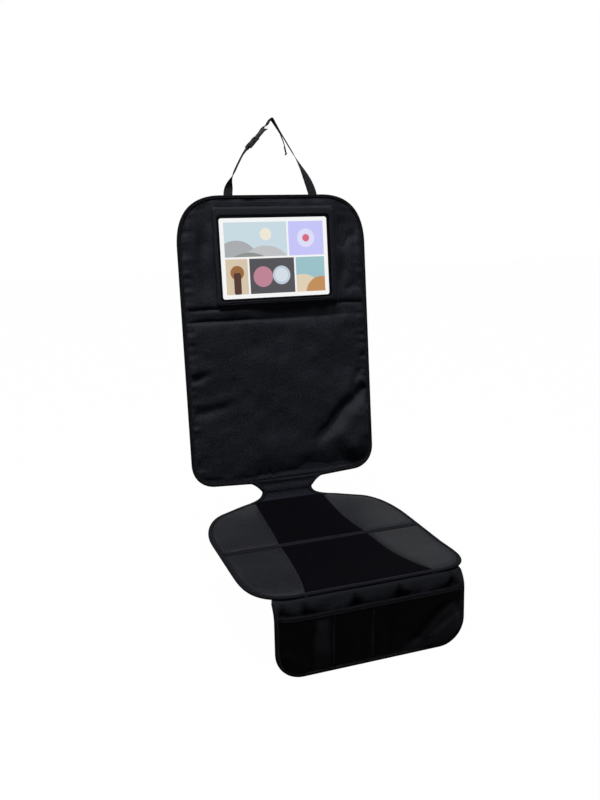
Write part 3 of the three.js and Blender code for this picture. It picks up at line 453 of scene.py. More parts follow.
def seat_panel(name, stuff, start, end, left, right, slot, rise, slope, swell, seed, columns):
    runs = spaced(start, end, 3.2, (0.8, 1.8, 3.2, 5, 8))
    edge = np.linspace(start, end, 60)
    loop = np.concatenate([
        np.stack([left(edge), edge], axis=1), np.stack([right(edge), edge], axis=1)[::-1],
    ])

    def over(x, run):
        near = edge_distance(x, run, loop)
        crown = rise * puff(near, slope)
        low = swell * wander(x, run, 55, seed) * puff(near, 30)
        pucker = 0.32 * wander(x, run, 7, seed + 1) * np.exp(-(near - 5) ** 2 / 50)
        return panel_top + crown + low + pucker

    piece = cloth(name, stuff, mat, runs, left, right, columns, flat_at(panel_under), over)
    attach(piece, "mat")
    return piece


side_start = 640.0
while panel_half(side_start) < strip_half(side_start) + 12:
    side_start += 0.5
for side, word in ((-1, "left"), (1, "right")):
    def inner(d, side=side):
        return side * (strip_half(d) + 0.15)

    def outer(d, side=side):
        return side * np.maximum(panel_half(d), strip_half(d) + 4)

    edges = (outer, inner) if side < 0 else (inner, outer)
    rear = seat_panel(
        "seat_side_rear_" + word + "_leather", leather, side_start, rear_end, *edges, "leather_look",
        rise=2.4, slope=15, swell=0.9, seed=20 + side, columns=44,
    )
    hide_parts("seat_side_rear_" + word)
    front = seat_panel(
        "seat_side_front_" + word + "_leather", leather, front_start, panel_end, *edges, "leather_look",
        rise=2.8, slope=15, swell=1.0, seed=30 + side, columns=44,
    )
    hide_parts("seat_side_front_" + word)


# Seat centre: two strips of matt dark cloth between the leather-look panels, laid over the same foam and
# sewn in along their sides. The rear one starts at the neck.
strip_cloth = woven("strip_cloth", (0.0018, 0.0018, 0.0034), 0.0008, 0.00022, 0.88, 0.3, 0.5, 0.0, 0.05)


def strip_edge(d):
    return np.minimum(strip_half(d) - 0.15, panel_half(d))


for word, start, end, seed in (("rear", 676.0, rear_end, 41), ("front", front_start, panel_end, 44)):
    strip = seat_panel(
        "seat_centre_" + word + "_cloth", strip_cloth, start, end, *mirrored(strip_edge), "dark_cloth",
        rise=1.6, slope=14, swell=0.7, seed=seed, columns=70,
    )
    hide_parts("seat_centre_" + word)


# Cross tape: a flat folded tape over the joint between the rear and the front panels, sewn along both edges.
# All sewing is real thread here: one short raised bead for each stitch, sunk at both ends.
tape_cloth = woven("edge_tape", (0.0058, 0.0062, 0.0098), 0.0011, 0.0003, 0.78, 0.2, 0.35, 0.03, 0.12)


def in_object(tree):
    return shader(tree, "ShaderNodeTexCoord").outputs["Object"]


thread, tree, surface = new_material("thread", Specular_IOR_Level=0.4, Roughness=0.6)
place = in_object(tree)
twist = noise(place, 900.0, 2.0)
feed(surface, {"Base Color": between(twist, (0.012, 0.012, 0.016), (0.05, 0.05, 0.06))})


def stitches(name, line, rows, pitch=4.0, length=3.0, thick=0.7):
    rings = [(-1.0, -0.1, 0.5), (-0.35, 0.42, 0.95), (0.35, 0.42, 0.95), (1.0, -0.1, 0.5)]
    sides = [(cos(2 * pi * k / 5), sin(2 * pi * k / 5)) for k in range(5)]
    points, faces, caps, made = [], [], [], 0
    for route, height in rows:
        steps = lengths_along(route)
        at = np.arange(pitch / 2, steps[-1] - pitch / 3, pitch)
        spots = [picked(route, steps, at + shift).T for shift in (0, -0.6, 0.6)]
        centre, before, after = (lay(line, x, run, height(x, run)) for x, run in spots)
        x, run = spots[0]
        up = unit(lay(line, x, run, height(x, run) + 1) - centre)
        ahead = unit(after - before)
        across = np.cross(up, ahead)
        for along, lift, wide in rings:
            for c, s in sides:
                points.append(
                    centre + ahead * along * length * 0.0005 + across * c * wide * thick * 0.0005
                    + up * (lift * thick + s * wide * thick * 0.5) * 0.001
                )
        count = len(at)
        first = np.arange(count) + made
        for ring in (0, 5, 10):
            for k in range(5):
                a, b = ring + k, ring + (k + 1) % 5
                faces.append(np.stack([first + count * v for v in (a, b, b + 5, a + 5)], axis=1))
        for ends in ((0, 4, 3, 2, 1), (15, 16, 17, 18, 19)):
            caps += np.stack([first + count * v for v in ends], axis=1).tolist()
        made += count * 20
    points = np.concatenate(points)
    piece = new_piece(name, thread, points, np.concatenate(faces).tolist() + caps, points[:, :2])
    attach(piece, "mat")
    return piece


def tape_top(x, run):
    crown = 0.9 * (1 - ((run - (tape_rear + tape_front) / 2) / 7.2) ** 2) ** 0.5
    return 6.9 + crown + 0.12 * wander(x, run, 12, 51)


cross_tape = cloth(
    "seat_cross_tape_cloth", tape_cloth, mat, spaced(tape_rear, tape_front, 1.2, (0.3,)),
    *mirrored(panel_half), 160, flat_at(panel_under), tape_top,
)
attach(cross_tape, "mat")
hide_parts("seat_cross_tape")
cross_rows = [(straight((-207, at), (207, at)), tape_top) for at in (tape_rear + 2.4, tape_front - 2.4)]
stitches("cross_tape_stitches", mat, cross_rows)
panel_rows = []
for side in (-1, 1):
    for start, end in ((side_start + 6, tape_rear - 2), (tape_front + 2, panel_end - 2)):
        runs = np.linspace(start, end, 60)
        seam = np.stack([side * (strip_half(runs) + 3.4), runs], axis=1)
        panel_rows.append((seam, flat_at(7.5)))
stitches("seat_panel_stitches", mat, panel_rows, 3.6, 2.7, 0.6)


# Seat binding: woven tape folded over the edge of the seat mat and sewn through, one row of stitches.
tape_thick, tape_play, tape_leg = 0.7, 0.4, 8.3


def tube_faces(count, wide, closed=False):
    index = np.arange(count * wide).reshape(count, wide)
    around = np.roll(index, -1, axis=1)
    quads = np.stack([index, around, np.roll(around, -1, axis=0), np.roll(index, -1, axis=0)], axis=-1)
    if closed:
        return quads.reshape(-1, 4).tolist()
    return quads[:-1].reshape(-1, 4).tolist() + [index[0].tolist(), index[-1][::-1].tolist()]


def binding(name, line, route, lower, thick, seed, curl=flat_at(0)):
    steps = lengths_along(route)
    at = np.linspace(0, steps[-1], int(steps[-1] / 3.5))
    path = picked(route, steps, at)
    along = unit(np.gradient(path, axis=0))
    outward = np.stack([along[:, 1], -along[:, 0]], axis=1)
    low, high = lower - (tape_thick + tape_play), thick + (tape_thick + tape_play)
    far, soft = -tape_leg, 2.3
    round_low = [(-soft + soft * sin(a), low + soft - soft * cos(a)) for a in np.linspace(0, pi / 2, 6)]
    round_high = [(x, low + high - h) for x, h in round_low[::-1]]
    section = [(far, low)] + round_low + round_high + [
        (far, high), (far, high - tape_thick), (-soft, high - tape_thick), (-tape_thick, high - soft),
        (-tape_thick, low + soft), (-soft, low + tape_thick), (far, low + tape_thick),
    ]
    ease = 0.25 * wander(at, 0 * at, 11, seed)
    rows, flat, past = [], [], 0.0
    for k, (across, height) in enumerate(section):
        legs = 0.5 * wander(at, 0 * at + 7, 16, seed + 1) if across <= far + 0.01 else 0 * at
        middle = low + (high - low) / 2
        lifted = height + (ease if height > middle else -ease) * (across < -1)
        spots = path + outward * (across + legs)[:, None]
        rows.append(lay(line, spots[:, 0], spots[:, 1], lifted - curl(spots[:, 0], spots[:, 1])))
        if k:
            past += hypot(across - section[k - 1][0], height - section[k - 1][1])
        flat.append(np.stack([at * 0.001, 0 * at + past * 0.001], axis=1))
    faces = tube_faces(len(at), len(section))
    piece = new_piece(name, tape_cloth, np.stack(rows, axis=1), faces, np.stack(flat, axis=1))
    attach(piece, "mat")
    inner = path - outward * 5.7
    stitches(name + "_stitches", line, [(inner[1:-1], lambda x, d: thick + 1.2 - curl(x, d))])
    return piece


seat_binding = binding("seat_binding_tape", mat, both_sides(seat_outline), edge_thin, base_thick, 61)
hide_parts("seat_binding")


# Front flap: plain cloth sewn under the seat's front edge, so that it hangs over the cushion. The elastic of
# the pockets' mouth gathers it, and between the gathers it bellies forward.
flap_half, flap_drop, flap_corner, flap_thick = 188, 147, 52, 2.4
flap_lean = radians(3.5)
flap_top = np.array([-223.6, 14.0])
flap_down = np.array([-sin(flap_lean), -cos(flap_lean)])
flap_line = line_from(straight(flap_top, flap_top + flap_down * flap_drop, 5))


def flap_route(amount):
    half, drop, top, bottom = flap_half - amount, flap_drop - amount, 1, flap_corner - amount
    turn = np.linspace(0, pi / 2, 20)
    upper = np.stack([half - top + top * np.sin(turn), amount + top - top * np.cos(turn)], axis=1)
    lower = np.stack([half - bottom + bottom * np.cos(turn), drop - bottom + bottom * np.sin(turn)], axis=1)
    return chain(straight((0, amount), upper[0]), upper, straight(upper[-1], lower[0]), lower,
                 straight(lower[-1], (0, drop)))


flap_edge = half_of(flap_route(1.5)[1:])
gathers = [(-172, 1.0), (-131, 0.8), (-36, 1.0), (52, 1.0), (160, 1.0)]
curl_start, curl_wide, curl_drop, curl_depth = 126, 62, 36, 18


def flap_curl(x, run):
    across = np.maximum(np.abs(x) - curl_start, 0) / curl_wide
    tuck = 3.4 * (1 - np.clip(run / 5, 0, 1)) ** 2
    return tuck + curl_depth * (across * (1 - np.clip(run / curl_drop, 0, 1))) ** 2


def flap_front(x, run):
    down = np.clip((run - 2) / 24, 0, 1)
    away = bell(np.maximum(run, 30) - 30, 45)
    edge = puff(flap_half - np.abs(x), 14)
    full = 7.0 * np.sin(down * pi / 2)
    for at, depth in gathers:
        wide = 2.0 + 9 * down * depth
        full = full - 13 * depth * down ** 1.3 * np.exp(-np.abs((x - at) / wide) ** 1.6)
    crumple = 2.0 * wander(x + run, run, 26, 70) + 0.9 * wander(x * 1.6 + run, run * 0.7, 10, 71)
    return flap_thick + (full * away + crumple * down) * edge - flap_curl(x, run)


# The flap's cloth is the back panel's polyester at about half its colour: painted shade for the flap hanging
# down under the seat's front edge.
shaded_flap_cloth = woven("shaded_flap_cloth", (0.006, 0.0066, 0.0102), 0.0009, 0.0003, 0.7, 0.25, 0.4, 0.03, 0.15)
flap = cloth(
    "front_flap_cloth", shaded_flap_cloth, flap_line, spaced(0, 145.5, 2.4, (0.7, 1.5)),
    *mirrored(lambda d: flap_edge(np.maximum(d, 1.5))), 150,
    lambda x, d: flap_front(x, d) - flap_thick, flap_front,
)
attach(flap, "mat")
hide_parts("front_flap")
flap_side = flap_route(0)
flap_side = flap_side[flap_side[:, 1] >= 1.2]
flap_binding = binding("flap_binding_tape", flap_line, both_sides(flap_side), 0, flap_thick, 65, flap_curl)
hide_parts("flap_binding")


# Flap pockets: one piece of open knitted mesh with two sewn dividers, so that there are three pockets. The
# mesh is cut fuller than the flap and bellies out below the mouth tape.
mesh_edge = half_of(flap_route(tape_in)[1:])
mesh_side, mesh_start, mesh_end = flap_half - tape_in, 26, flap_drop - tape_in
dividers = (-80, -4)
pocket_edges = [-mesh_side, *dividers, mesh_side]
mesh_folds = (
    ([(58, 128), (96, 100), (130, 70), (176, 42)], 11, -6.5, (0.2, 0.1)),
    ([(92, 134), (134, 104), (172, 80)], 18, 5.5, (0.3, 0.1)),
    ([(-104, 38), (-103, 80), (-101, 130)], 12, 4.0, (0.1, 0.3)),
    ([(-176, 96), (-150, 112), (-128, 132)], 10, 4.0, (0.1, 0.3)),
)


def soft_step(value):
    kept = np.clip(value, 0, 1)
    return kept * kept * (3 - 2 * kept)


def mesh_front(x, run):
    down = np.clip((run - mesh_start) / (mesh_end - mesh_start), 0, 1)
    across = x * mesh_side / np.maximum(mesh_edge(run), 1)
    swell = np.zeros(x.shape)
    for a, b in zip(pocket_edges, pocket_edges[1:]):
        a, b = a + 2.5, b - 2.5
        inside = (across > a) & (across < b)
        swell = np.where(inside, np.sin(pi * np.clip((across - a) / (b - a), 0, 1)) ** 0.6, swell)
    mouth = soft_step((run - 33) / 34)
    straight_front = 1 - np.minimum(np.abs(x) / mesh_side, 1) ** 12
    swell = 0.45 + 0.55 * swell
    loose = (straight_front + (np.minimum(swell, straight_front) - straight_front) * mouth) * (1 - down ** 3)
    tucks = 1.5 * wander(x, run * 0.22, 13, 82) + 1.0 * wander(x * 0.6, run, 24, 83)
    drape = folds(x, run, mesh_folds)
    return 3.6 + 10.0 * loose + (tucks + drape) * mouth * np.minimum(loose * 2, 1) - flap_curl(x, run)


mesh_stuff, tree, surface = new_material("pocket_mesh", Specular_IOR_Level=0.15, Roughness=0.45)
place = on_cloth(tree)
hole_pitch, hole_radius = 0.0017, 0.2
cells = parts_of(stretched(place, 1 / hole_pitch))
staggered = graded(floored(cells["Y"]), 0.5, cells["X"])
hole_x, hole_y = minus(fraction(staggered), 0.5), minus(fraction(cells["Y"]), 0.5)
radius = root(plus(times(hole_x, hole_x), times(hole_y, hole_y)))
# Painted sheen on the mesh. One is a lighter patch over the lower right of the right pocket, where the
# sagging mesh faces the lamp. The other is a painted highlight streak down the left pocket.
spot = parts_of(place)
waver = times(minus(noise(place, 22.0, 3.0), 0.5), 0.06)
slant = plus(graded(spot["X"], 0.49, times(spot["Y"], 0.87)), waver)
from_streak = unsigned(graded(waver, 0.3, plus(spot["X"], 0.103)))
sheen_patch, sheen_streak = (
    shader(tree, "ShaderNodeMapRange", {"Value": value, "From Min": start, "From Max": stop, "To Max": most})
    for value, start, stop, most in ((slant, 0.139, 0.158, 0.9), (from_streak, 0.018, 0.009, 0.42))
)
painted_sheen = larger(sheen_patch.outputs[0], sheen_streak.outputs[0])
mesh_tone = worn(place, (0.0009, 0.001, 0.0019), 0.3, 0.3)["Colour"]
feed(surface, {
    "Base Color": between(painted_sheen, mesh_tone, (0.026, 0.027, 0.034)),
    "Alpha": more(radius, hole_radius),
    "Normal": relief(radius, 0.6, 0.0004),
})

pocket = cloth(
    "flap_pocket_cloth", mesh_stuff, flap_line, spaced(mesh_start, mesh_end, 2.2, (0.6, 1.4)),
    *mirrored(mesh_edge), 180, lambda x, d: mesh_front(x, d) - 0.7, mesh_front,
)
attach(pocket, "mat")
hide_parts("flap_pocket_mesh")


def mouth_front(x, run):
    return mesh_front(x, 29 + 0 * run)


mouth_tape = cloth(
    "pocket_mouth_tape", tape_cloth, flap_line, spaced(25.5, 35, 0.8), *mirrored(mesh_edge), 180,
    lambda x, d: mouth_front(x, d) + 0.3,
    lambda x, d: mouth_front(x, d) + 1.3 + 0.4 * (1 - ((d - 30.3) / 4.9) ** 2),
)
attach(mouth_tape, "mat")
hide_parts("pocket_top_tape")
divider_rows = []
for at in dividers:
    for across in (at - 1.2, at + 1.2):
        divider_rows.append((straight((across, 36), (across, 136)), lambda x, d: mesh_front(x, d) + 0.1))
for at in (27.6, 32.8):
    divider_rows.append((straight((-178, at), (178, at)), lambda x, d: mouth_front(x, d) + 1.45))
stitches("pocket_stitches", flap_line, divider_rows, 3.4, 2.6, 0.55)


# Back panel: foam between two cloths, with two stitched creases across it so that it folds. The cloth on the
# front is a little slack: it wrinkles from the edges and sinks in a long valley at the lower right.
back_outline = chain(
    straight((0, 0), (115, 0)), bent([(115, 0), (165, 0), (215, 21.6), (215, 108)], 40),
    straight((215, 108), (215, 569)), bent([(215, 569), (215, 601.4), (194.3, 619.8), (169, 623)], 24),
    straight((169, 623), (84, 628)), bent([(84, 628), (71.5, 633), (59, 649)], 10),
)
back_inner = inset(back_outline, 1.5)
back_edge = half_of(back_inner[2:])
creases = (239.0, 264.5)
crease_width, stitch_width = 5.0, 2.6
field_loop = both_sides(inset(back_outline[back_outline[:, 1] < 629], tape_in))
# Each fold is a route of (across, run) points, its width, its depth and the shares over which its ends fade.
valley_folds = (
    ([(206, 428), (176, 455), (145, 478), (110, 520), (66, 556)], 15, -11.0, (0.06, 0.2)),
    ([(196, 404), (150, 448), (118, 480), (88, 520)], 22, 5.0, (0.2, 0.4)),
    ([(206, 388), (186, 400), (172, 420), (166, 452)], 9, -5.0, (0.1, 0.3)),
    ([(204, 474), (168, 498), (128, 544), (98, 568)], 20, 7.0, (0.1, 0.4)),
    ([(218, 496), (204, 528), (172, 558), (130, 582)], 34, 14.0, (0.0, 0.3)),
)
small_folds = (
    ([(-206, 390), (-173, 380), (-142, 372)], 9, -5.0, (0.05, 0.7)),
    ([(-206, 372), (-168, 362), (-140, 356)], 12, 2.4, (0.1, 0.7)),
    ([(-206, 463), (-140, 452), (-84, 436)], 11, -4.6, (0.05, 0.7)),
    ([(-206, 444), (-150, 434), (-104, 424)], 14, 2.4, (0.1, 0.7)),
    ([(206, 470), (190, 484), (170, 492)], 7, -3.0, (0.1, 0.6)),
    ([(208, 352), (196, 372), (180, 388)], 8, -3.2, (0.1, 0.6)),
    ([(-44, 400), (-40, 464), (-35, 560)], 20, -4.0, (0.4, 0.3)),
    ([(-84, 430), (-74, 500), (-66, 560)], 22, 2.0, (0.4, 0.3)),
    ([(-37, 350), (-34, 420)], 3.6, -1.2, (0.4, 0.4)),
    ([(-14, 356), (-19, 455)], 4.0, -1.5, (0.4, 0.4)),
    ([(4, 280), (-6, 380)], 12, -1.8, (0.3, 0.4)),
    ([(62, 285), (56, 360)], 16, -1.8, (0.3, 0.5)),
)
upper_folds = (
    ([(158, 40), (164, 120), (156, 222)], 12, -7.0, (0.2, 0.3)),
    ([(-158, 60), (-162, 140), (-156, 226)], 12, -6.0, (0.3, 0.3)),
    ([(146, 118), (176, 92), (206, 84)], 10, -4.0, (0.2, 0.3)),
    ([(160, 214), (186, 200), (206, 214)], 8, -3.5, (0.2, 0.3)),
)


def back_front(x, run):
    near = edge_distance(x, run, field_loop)
    inside = (np.abs(x) < np.interp(run, back_inner[:, 1], back_inner[:, 0]) - 7) & (run > 8.6) & (run < 622)
    near = np.where(inside, near, 0)
    pad = 3.2 * puff(near, 13) * (0.12 + 0.88 * np.clip((run - 14) / 110, 0, 1))
    wavy = run + 1.6 * wander(x, 0 * x, 40, 95)
    firm = (0.85 + 0.3 * wander(x, 0 * x, 55, 96), 0.62 - 0.4 * np.clip(x / 160, -1, 1))
    for at, depth in zip(creases, firm):
        pad = pad * (1 - 0.95 * depth * bell(wavy - at, crease_width))
        pad = pad - 0.8 * depth * bell(wavy - at, stitch_width)
    sunk = bell(run - 261, np.where(run < 261, 21, 15))
    pad = pad - 3.6 * sunk * puff(near, 30)
    free = puff(near, 15)
    lower = np.clip((run - 268) / 30, 0, 1)
    slack = 2.2 * wander(x, run, 62, 90) + 1.2 * wander(x, run, 27, 91) + 0.3 * wander(x, run, 11, 92)
    edge_run = np.where(np.abs(x) > 150, run, x)
    pucker = wander(edge_run, 0 * x + np.sign(x) * 30, 9.5, 93) * bell(near - 7, 11)
    roll = -15 * np.clip((run - 566) / 56, 0, 1) ** 1.4 * (0.2 + 0.8 * np.clip((x + 110) / 90, 0, 1))
    neck = 2.6 * bell(run - 634, 7)
    upper = folds(x, run, upper_folds, 3.0 * wander(x, run * 0.35, 26, 94) * (1 - lower))
    folded = folds(x, run, valley_folds) + folds(x, run, small_folds)
    loose = free * (slack + upper + folded * lower) + roll * lower * puff(near, 9)
    pucker = 1.7 * pucker * np.clip((run - 10) / 50, 0.15, 1) * (near > 0)
    return 5.4 + pad + loose - neck + pucker


def back_under(x, run):
    deep = (np.abs(x) < back_edge(run) - sewn_in) & (run > 34) & (run < 614)
    return np.where(deep, 0.0, edge_thin)


polyester = woven("polyester", (0.0124, 0.0141, 0.0208), 0.0009, 0.0003, 0.62, 0.22, 0.5, 0.03, 0.18)
back_rows = spaced(1.6, 648.8, 3.0, (0.4, 0.9, 1.6, 2.4))
for at in creases:
    back_rows = np.concatenate([back_rows, at + np.array([-3, -1.6, -0.6, 0.6, 1.6, 3])])
back_rows = np.unique(np.round(back_rows, 1))
back = cloth(
    "back_panel_cloth", polyester, mat, back_rows, *mirrored(back_edge), 146, back_under, back_front,
)
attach(back, "mat")
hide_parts("back_panel")
crease_rows = [
    (straight((-204, at + 0.4), (204, at + 0.4)), lambda x, d: back_front(x, d) + 0.1) for at in creases
]
stitches("back_crease_stitches", mat, crease_rows)
back_route = np.concatenate([(back_outline * [-1, 1])[::-1], back_outline[1:]])
back_binding = binding("back_binding_tape", mat, back_route, edge_thin, base_thick, 67)
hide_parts("back_binding")


# Tablet: a slim dark shell with a glass front. The display shows a made-up page of plain shapes.
def face_run(point):
    return -((point[1] * 1000 - back_top[0]) * up_back[0] + (point[2] * 1000 - back_top[1]) * up_back[1])


glass_low, glass_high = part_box("tablet_glass")
window_run = (face_run(glass_low) + face_run(glass_high)) / 2


def cover(name, material):
    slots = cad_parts[name].data.materials
    slots.clear()
    slots.append(material)


shell, tree, surface = new_material("tablet_shell", Metallic=0.0)
place = in_object(tree)
smears = noise(place, 25.0, 3.0)
feed(surface, {
    "Base Color": between(smears, (0.006, 0.006, 0.008), (0.012, 0.012, 0.015)),
    "Roughness": graded(smears, 0.2, 0.32),
    "Normal": relief(noise(place, 1500.0, 2.0), 0.2, 0.0001),
})
cover("tablet_body", shell)

display, tree, surface = new_material("tablet_display", Specular_IOR_Level=0.06, Emission_Strength=1.0)
place = in_object(tree)
page_x = graded(parts_of(place)["X"], 1000, 2.8)
page_up = (0, up_back[0] * 1000, up_back[1] * 1000)
rise = shader(tree, "ShaderNodeVectorMath", {0: place, 1: page_up}, operation="DOT_PRODUCT")
page_y = minus(rise.outputs["Value"], float(back_top @ up_back - window_run - 2.3))


def field(x0, x1, y0, y1, corner):
    across = larger(minus(unsigned(minus(page_x, (x0 + x1) / 2)), (x1 - x0) / 2 - corner), 0.0)
    along = larger(minus(unsigned(minus(page_y, (y0 + y1) / 2)), (y1 - y0) / 2 - corner), 0.0)
    return less(root(plus(times(across, across), times(along, along))), corner)


def disc(x, y, size):
    across, along = minus(page_x, x), minus(page_y, y)
    return less(root(plus(times(across, across), times(along, along))), size)


page = between(field(-122.2, 122.2, -84.8, 84.8, 5), (0.002, 0.002, 0.003), (0.98, 0.98, 0.99))
for corners, ground, shapes in (
    ((-113, 28, 3, 76), (0.62, 0.75, 0.82), [
        ((-20, 50, 13), (0.93, 0.86, 0.72)), ((-88, -14, 52), (0.43, 0.45, 0.47)),
        ((-22, -38, 64), (0.56, 0.57, 0.58)), ((-60, -62, 74), (0.30, 0.31, 0.30)),
    ]),
    ((32, 113, 3, 76), (0.60, 0.60, 1.0), [
        ((72, 40, 20), (0.78, 0.78, 1.0)), ((72, 40, 8), (0.72, 0.16, 0.25)),
    ]),
    ((-113, -64, -76, -1), (0.72, 0.60, 0.44), [
        ((-88, -30, 15), (0.35, 0.16, 0.06)), ((-96, -80, -76, -30, 4), (0.10, 0.05, 0.04)),
    ]),
    ((-60, 42, -76, -1), (0.10, 0.10, 0.11), [
        ((-30, -40, 22), (0.55, 0.25, 0.33)), ((12, -38, 20), (0.55, 0.64, 0.74)),
        ((12, -38, 15), (0.72, 0.78, 0.86)),
    ]),
    ((46, 113, -76, -1), (0.35, 0.58, 0.62), [
        ((60, -84, 46), (0.80, 0.68, 0.50)), ((104, -80, 36), (0.58, 0.30, 0.12)),
    ]),
):
    inside = field(*corners, 1.0)
    page = between(inside, page, ground)
    for place_of, colour in shapes:
        shape = disc(*place_of) if len(place_of) == 3 else field(*place_of)
        page = between(times(shape, inside), page, colour)
feed(surface, {
    "Base Color": stretched(page, 0.05),
    "Emission Color": page,
    "Roughness": graded(noise(place, 40.0, 4.0), 0.1, 0.08),
})
cover("tablet_glass", display)


# Pocket window: clear soft film that a finger works through, slightly rippled.
film, tree, surface = new_material(
    "clear_film", Alpha=0.05, Specular_IOR_Level=0.1, Base_Color=(0.03, 0.03, 0.035, 1),
)
place = in_object(tree)
feed(surface, {
    "Roughness": graded(noise(place, 300.0, 3.0), 0.2, 0.04),
    "Normal": relief(noise(place, 16.0, 2.0), 0.3, 0.003),
})
cover("tablet_window", film)


# Pocket frame: the panel's own cloth folded over a stiffener, sewn down round its outer edge and turned in at
# the window, so that it stands over the tablet.
frame_low, frame_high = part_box("tablet_pocket_frame")
frame_half = frame_high[0] * 1000
frame_start = 24.0
frame_end = face_run((0, frame_low[1], frame_low[2])) - 1.4


def round_rect(x0, x1, y0, y1, corner, count=28):
    turn = np.linspace(0, pi / 2, 13)
    spots = []
    left, right, near, far = x0 + corner, x1 - corner, y0 + corner, y1 - corner
    for k, (cx, cy) in enumerate(((right, far), (left, far), (left, near), (right, near))):
        angle = turn + k * pi / 2
        spots.append(np.stack([cx + corner * np.cos(angle), cy + corner * np.sin(angle)], axis=1))
    sides = []
    for a, b in zip(spots, spots[1:] + spots[:1]):
        sides += [a, a[-1] + (b[0] - a[-1]) * np.linspace(0, 1, count + 2)[1:-1, None]]
    return np.concatenate(sides)


window_loop = round_rect(-130.5, 126, window_run - 88.5, window_run + 92, 8)
outer_loop = round_rect(-frame_half, frame_half, frame_start, frame_end, 6)
frame_profile = [
    (0.0, 16.8), (0.0, 17.2), (0.03, 17.5), (0.1, 17.6), (0.2, 17.5), (0.35, 17.3), (0.5, 17.0), (0.64, 16.6),
    (0.75, 16.0), (0.83, 15.0), (0.89, 13.2), (0.93, 10.8), (0.97, 9.0), (1.0, 7.8), (1.0, 5.2), (0.6, 5.2),
    (0.3, 5.2), (0.27, 9.0), (0.25, 15.4), (0.2, 16.2),
]
rows, flat = [], []
for share, height in frame_profile:
    spots = window_loop + (outer_loop - window_loop) * share
    soft = 0.3 * wander(spots[:, 0], spots[:, 1], 18, 101) if 0.02 < share < 0.98 and height > 9.3 else 0
    rows.append(lay(mat, spots[:, 0], spots[:, 1], height + soft))
    flat.append(spots * 0.001)
pocket_frame = new_piece(
    "tablet_pocket_frame_cloth", polyester, np.stack(rows, axis=1),
    tube_faces(len(window_loop), len(frame_profile), closed=True), np.stack(flat, axis=1),
)
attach(pocket_frame, "mat")
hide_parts("tablet_pocket_frame")
frame_rows = []
for share, height in ((0.66, 16.55), (0.12, 17.65)):
    loop = window_loop + (outer_loop - window_loop) * share
    frame_rows.append((np.concatenate([loop, loop[:1]]), flat_at(height)))
stitches("pocket_frame_stitches", mat, frame_rows, 3.6, 2.8, 0.6)


# Closing band: a folded strip of the same cloth above the frame, sewn along both edges over the mouth of
# the tablet's pocket.
band_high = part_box("pocket_top_band")[1]
band_start = face_run((0, band_high[1], band_high[2])) + 0.3


def band_top(x, run):
    crown = 0.4 * np.sqrt(np.maximum(1 - ((run - (band_start + 5)) / 5.3) ** 2, 0))
    return 7.1 + crown + 0.25 * wander(x, run, 14, 111)


band = cloth(
    "pocket_band_cloth", polyester, mat, spaced(band_start, band_start + 9.8, 0.9),
    *mirrored(lambda d: 122 + 0 * d), 110, flat_at(5.2), band_top,
)
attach(band, "mat")
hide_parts("pocket_top_band")
band_rows = [(straight((-119, at), (119, at)), band_top) for at in (band_start + 1.8, band_start + 8)]
stitches("pocket_band_stitches", mat, band_rows, 3.6, 2.8, 0.6)


# Headrest straps: 20 mm webbing sewn behind the top edge. The left one wraps the socket's bar, and the right
# one goes over the top into the ladder lock, comes back on itself and hangs free with a folded end.
webbing = woven("webbing", (0.022, 0.0225, 0.028), 0.0016, 0.0006, 0.7, 0.2, 0.4, 0.03, 0.2)
web_half, web_half_thick = 10, 0.65
strap_depth = -0.65
buckle_at, bar_round = np.array([-47.0, 98.0]), 2.45
tilt = radians(46)
buckle_axis, buckle_side = np.array([cos(tilt), sin(tilt)]), np.array([-sin(tilt), cos(tilt)])


def on_buckle(along, side):
    return buckle_at + buckle_axis * along + buckle_side * side


def wrap_bar(bar_at, start, end, steps):
    angles = np.radians(np.linspace(start, end, steps + 1))
    return np.array([on_buckle(bar_at + bar_round * cos(a), bar_round * sin(a)) for a in angles])


def ribbon(name, route, twist, seed):
    steps = lengths_along(route)
    at = [0.0]
    while at[-1] < steps[-1]:
        at.append(at[-1] + 1.0)
    at = np.array(at[:-1] + [steps[-1]])
    smooth = picked(route, steps, at)
    for _ in range(2):
        smooth[1:-1] = (smooth[:-2] + 2 * smooth[1:-1] + smooth[2:]) / 4
    along = np.concatenate([unit(np.gradient(smooth, axis=0)), 0 * at[:, None]], axis=1)
    turn = np.radians(twist(smooth[:, 0], smooth[:, 1]))
    wide = np.stack([np.cos(turn), 0 * at, -np.sin(turn)], axis=1)
    wide = unit(wide - along * np.sum(wide * along, axis=1)[:, None])
    thick = np.cross(along, wide)
    shares = np.linspace(-1, 1, 15)
    ring = [(web_half * s, web_half_thick * (1 - abs(s) ** 8) ** 0.5) for s in shares]
    ring += [(a, -t) for a, t in ring[-2:0:-1]]
    centre = np.concatenate([smooth, 0 * at[:, None] + strap_depth], axis=1)
    cup = 0.12 * wander(at, 0 * at, 25, seed)
    rows = [centre + wide * a + thick * (t + cup[:, None] * (1 - (a / web_half) ** 2)) for a, t in ring]
    local = np.stack(rows, axis=1)
    points = lay(mat, local[..., 0], -local[..., 1], local[..., 2])
    flat = np.stack(np.broadcast_arrays([a * 0.001 for a, t in ring], at[:, None] * 0.001), axis=-1)
    piece = new_piece(name, webbing, points, tube_faces(len(at), len(ring)), flat)
    return piece


left_join = on_buckle(-9, 0.9)
left_route = chain(
    straight((-96.5, -30), (-96.5, 0)), bent([(-96.5, 0), (-96.5, 22), left_join - [16, 24], left_join], 40),
    wrap_bar(3.2, 90, -90, 12), [on_buckle(-9, -0.9)], [on_buckle(-18, -1.3)],
)
strap_left = ribbon("strap_left_webbing", left_route, lambda x, rise: 90 * soft_step((rise - 3) / 49), 121)
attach(strap_left, "mat")
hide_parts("strap_left")

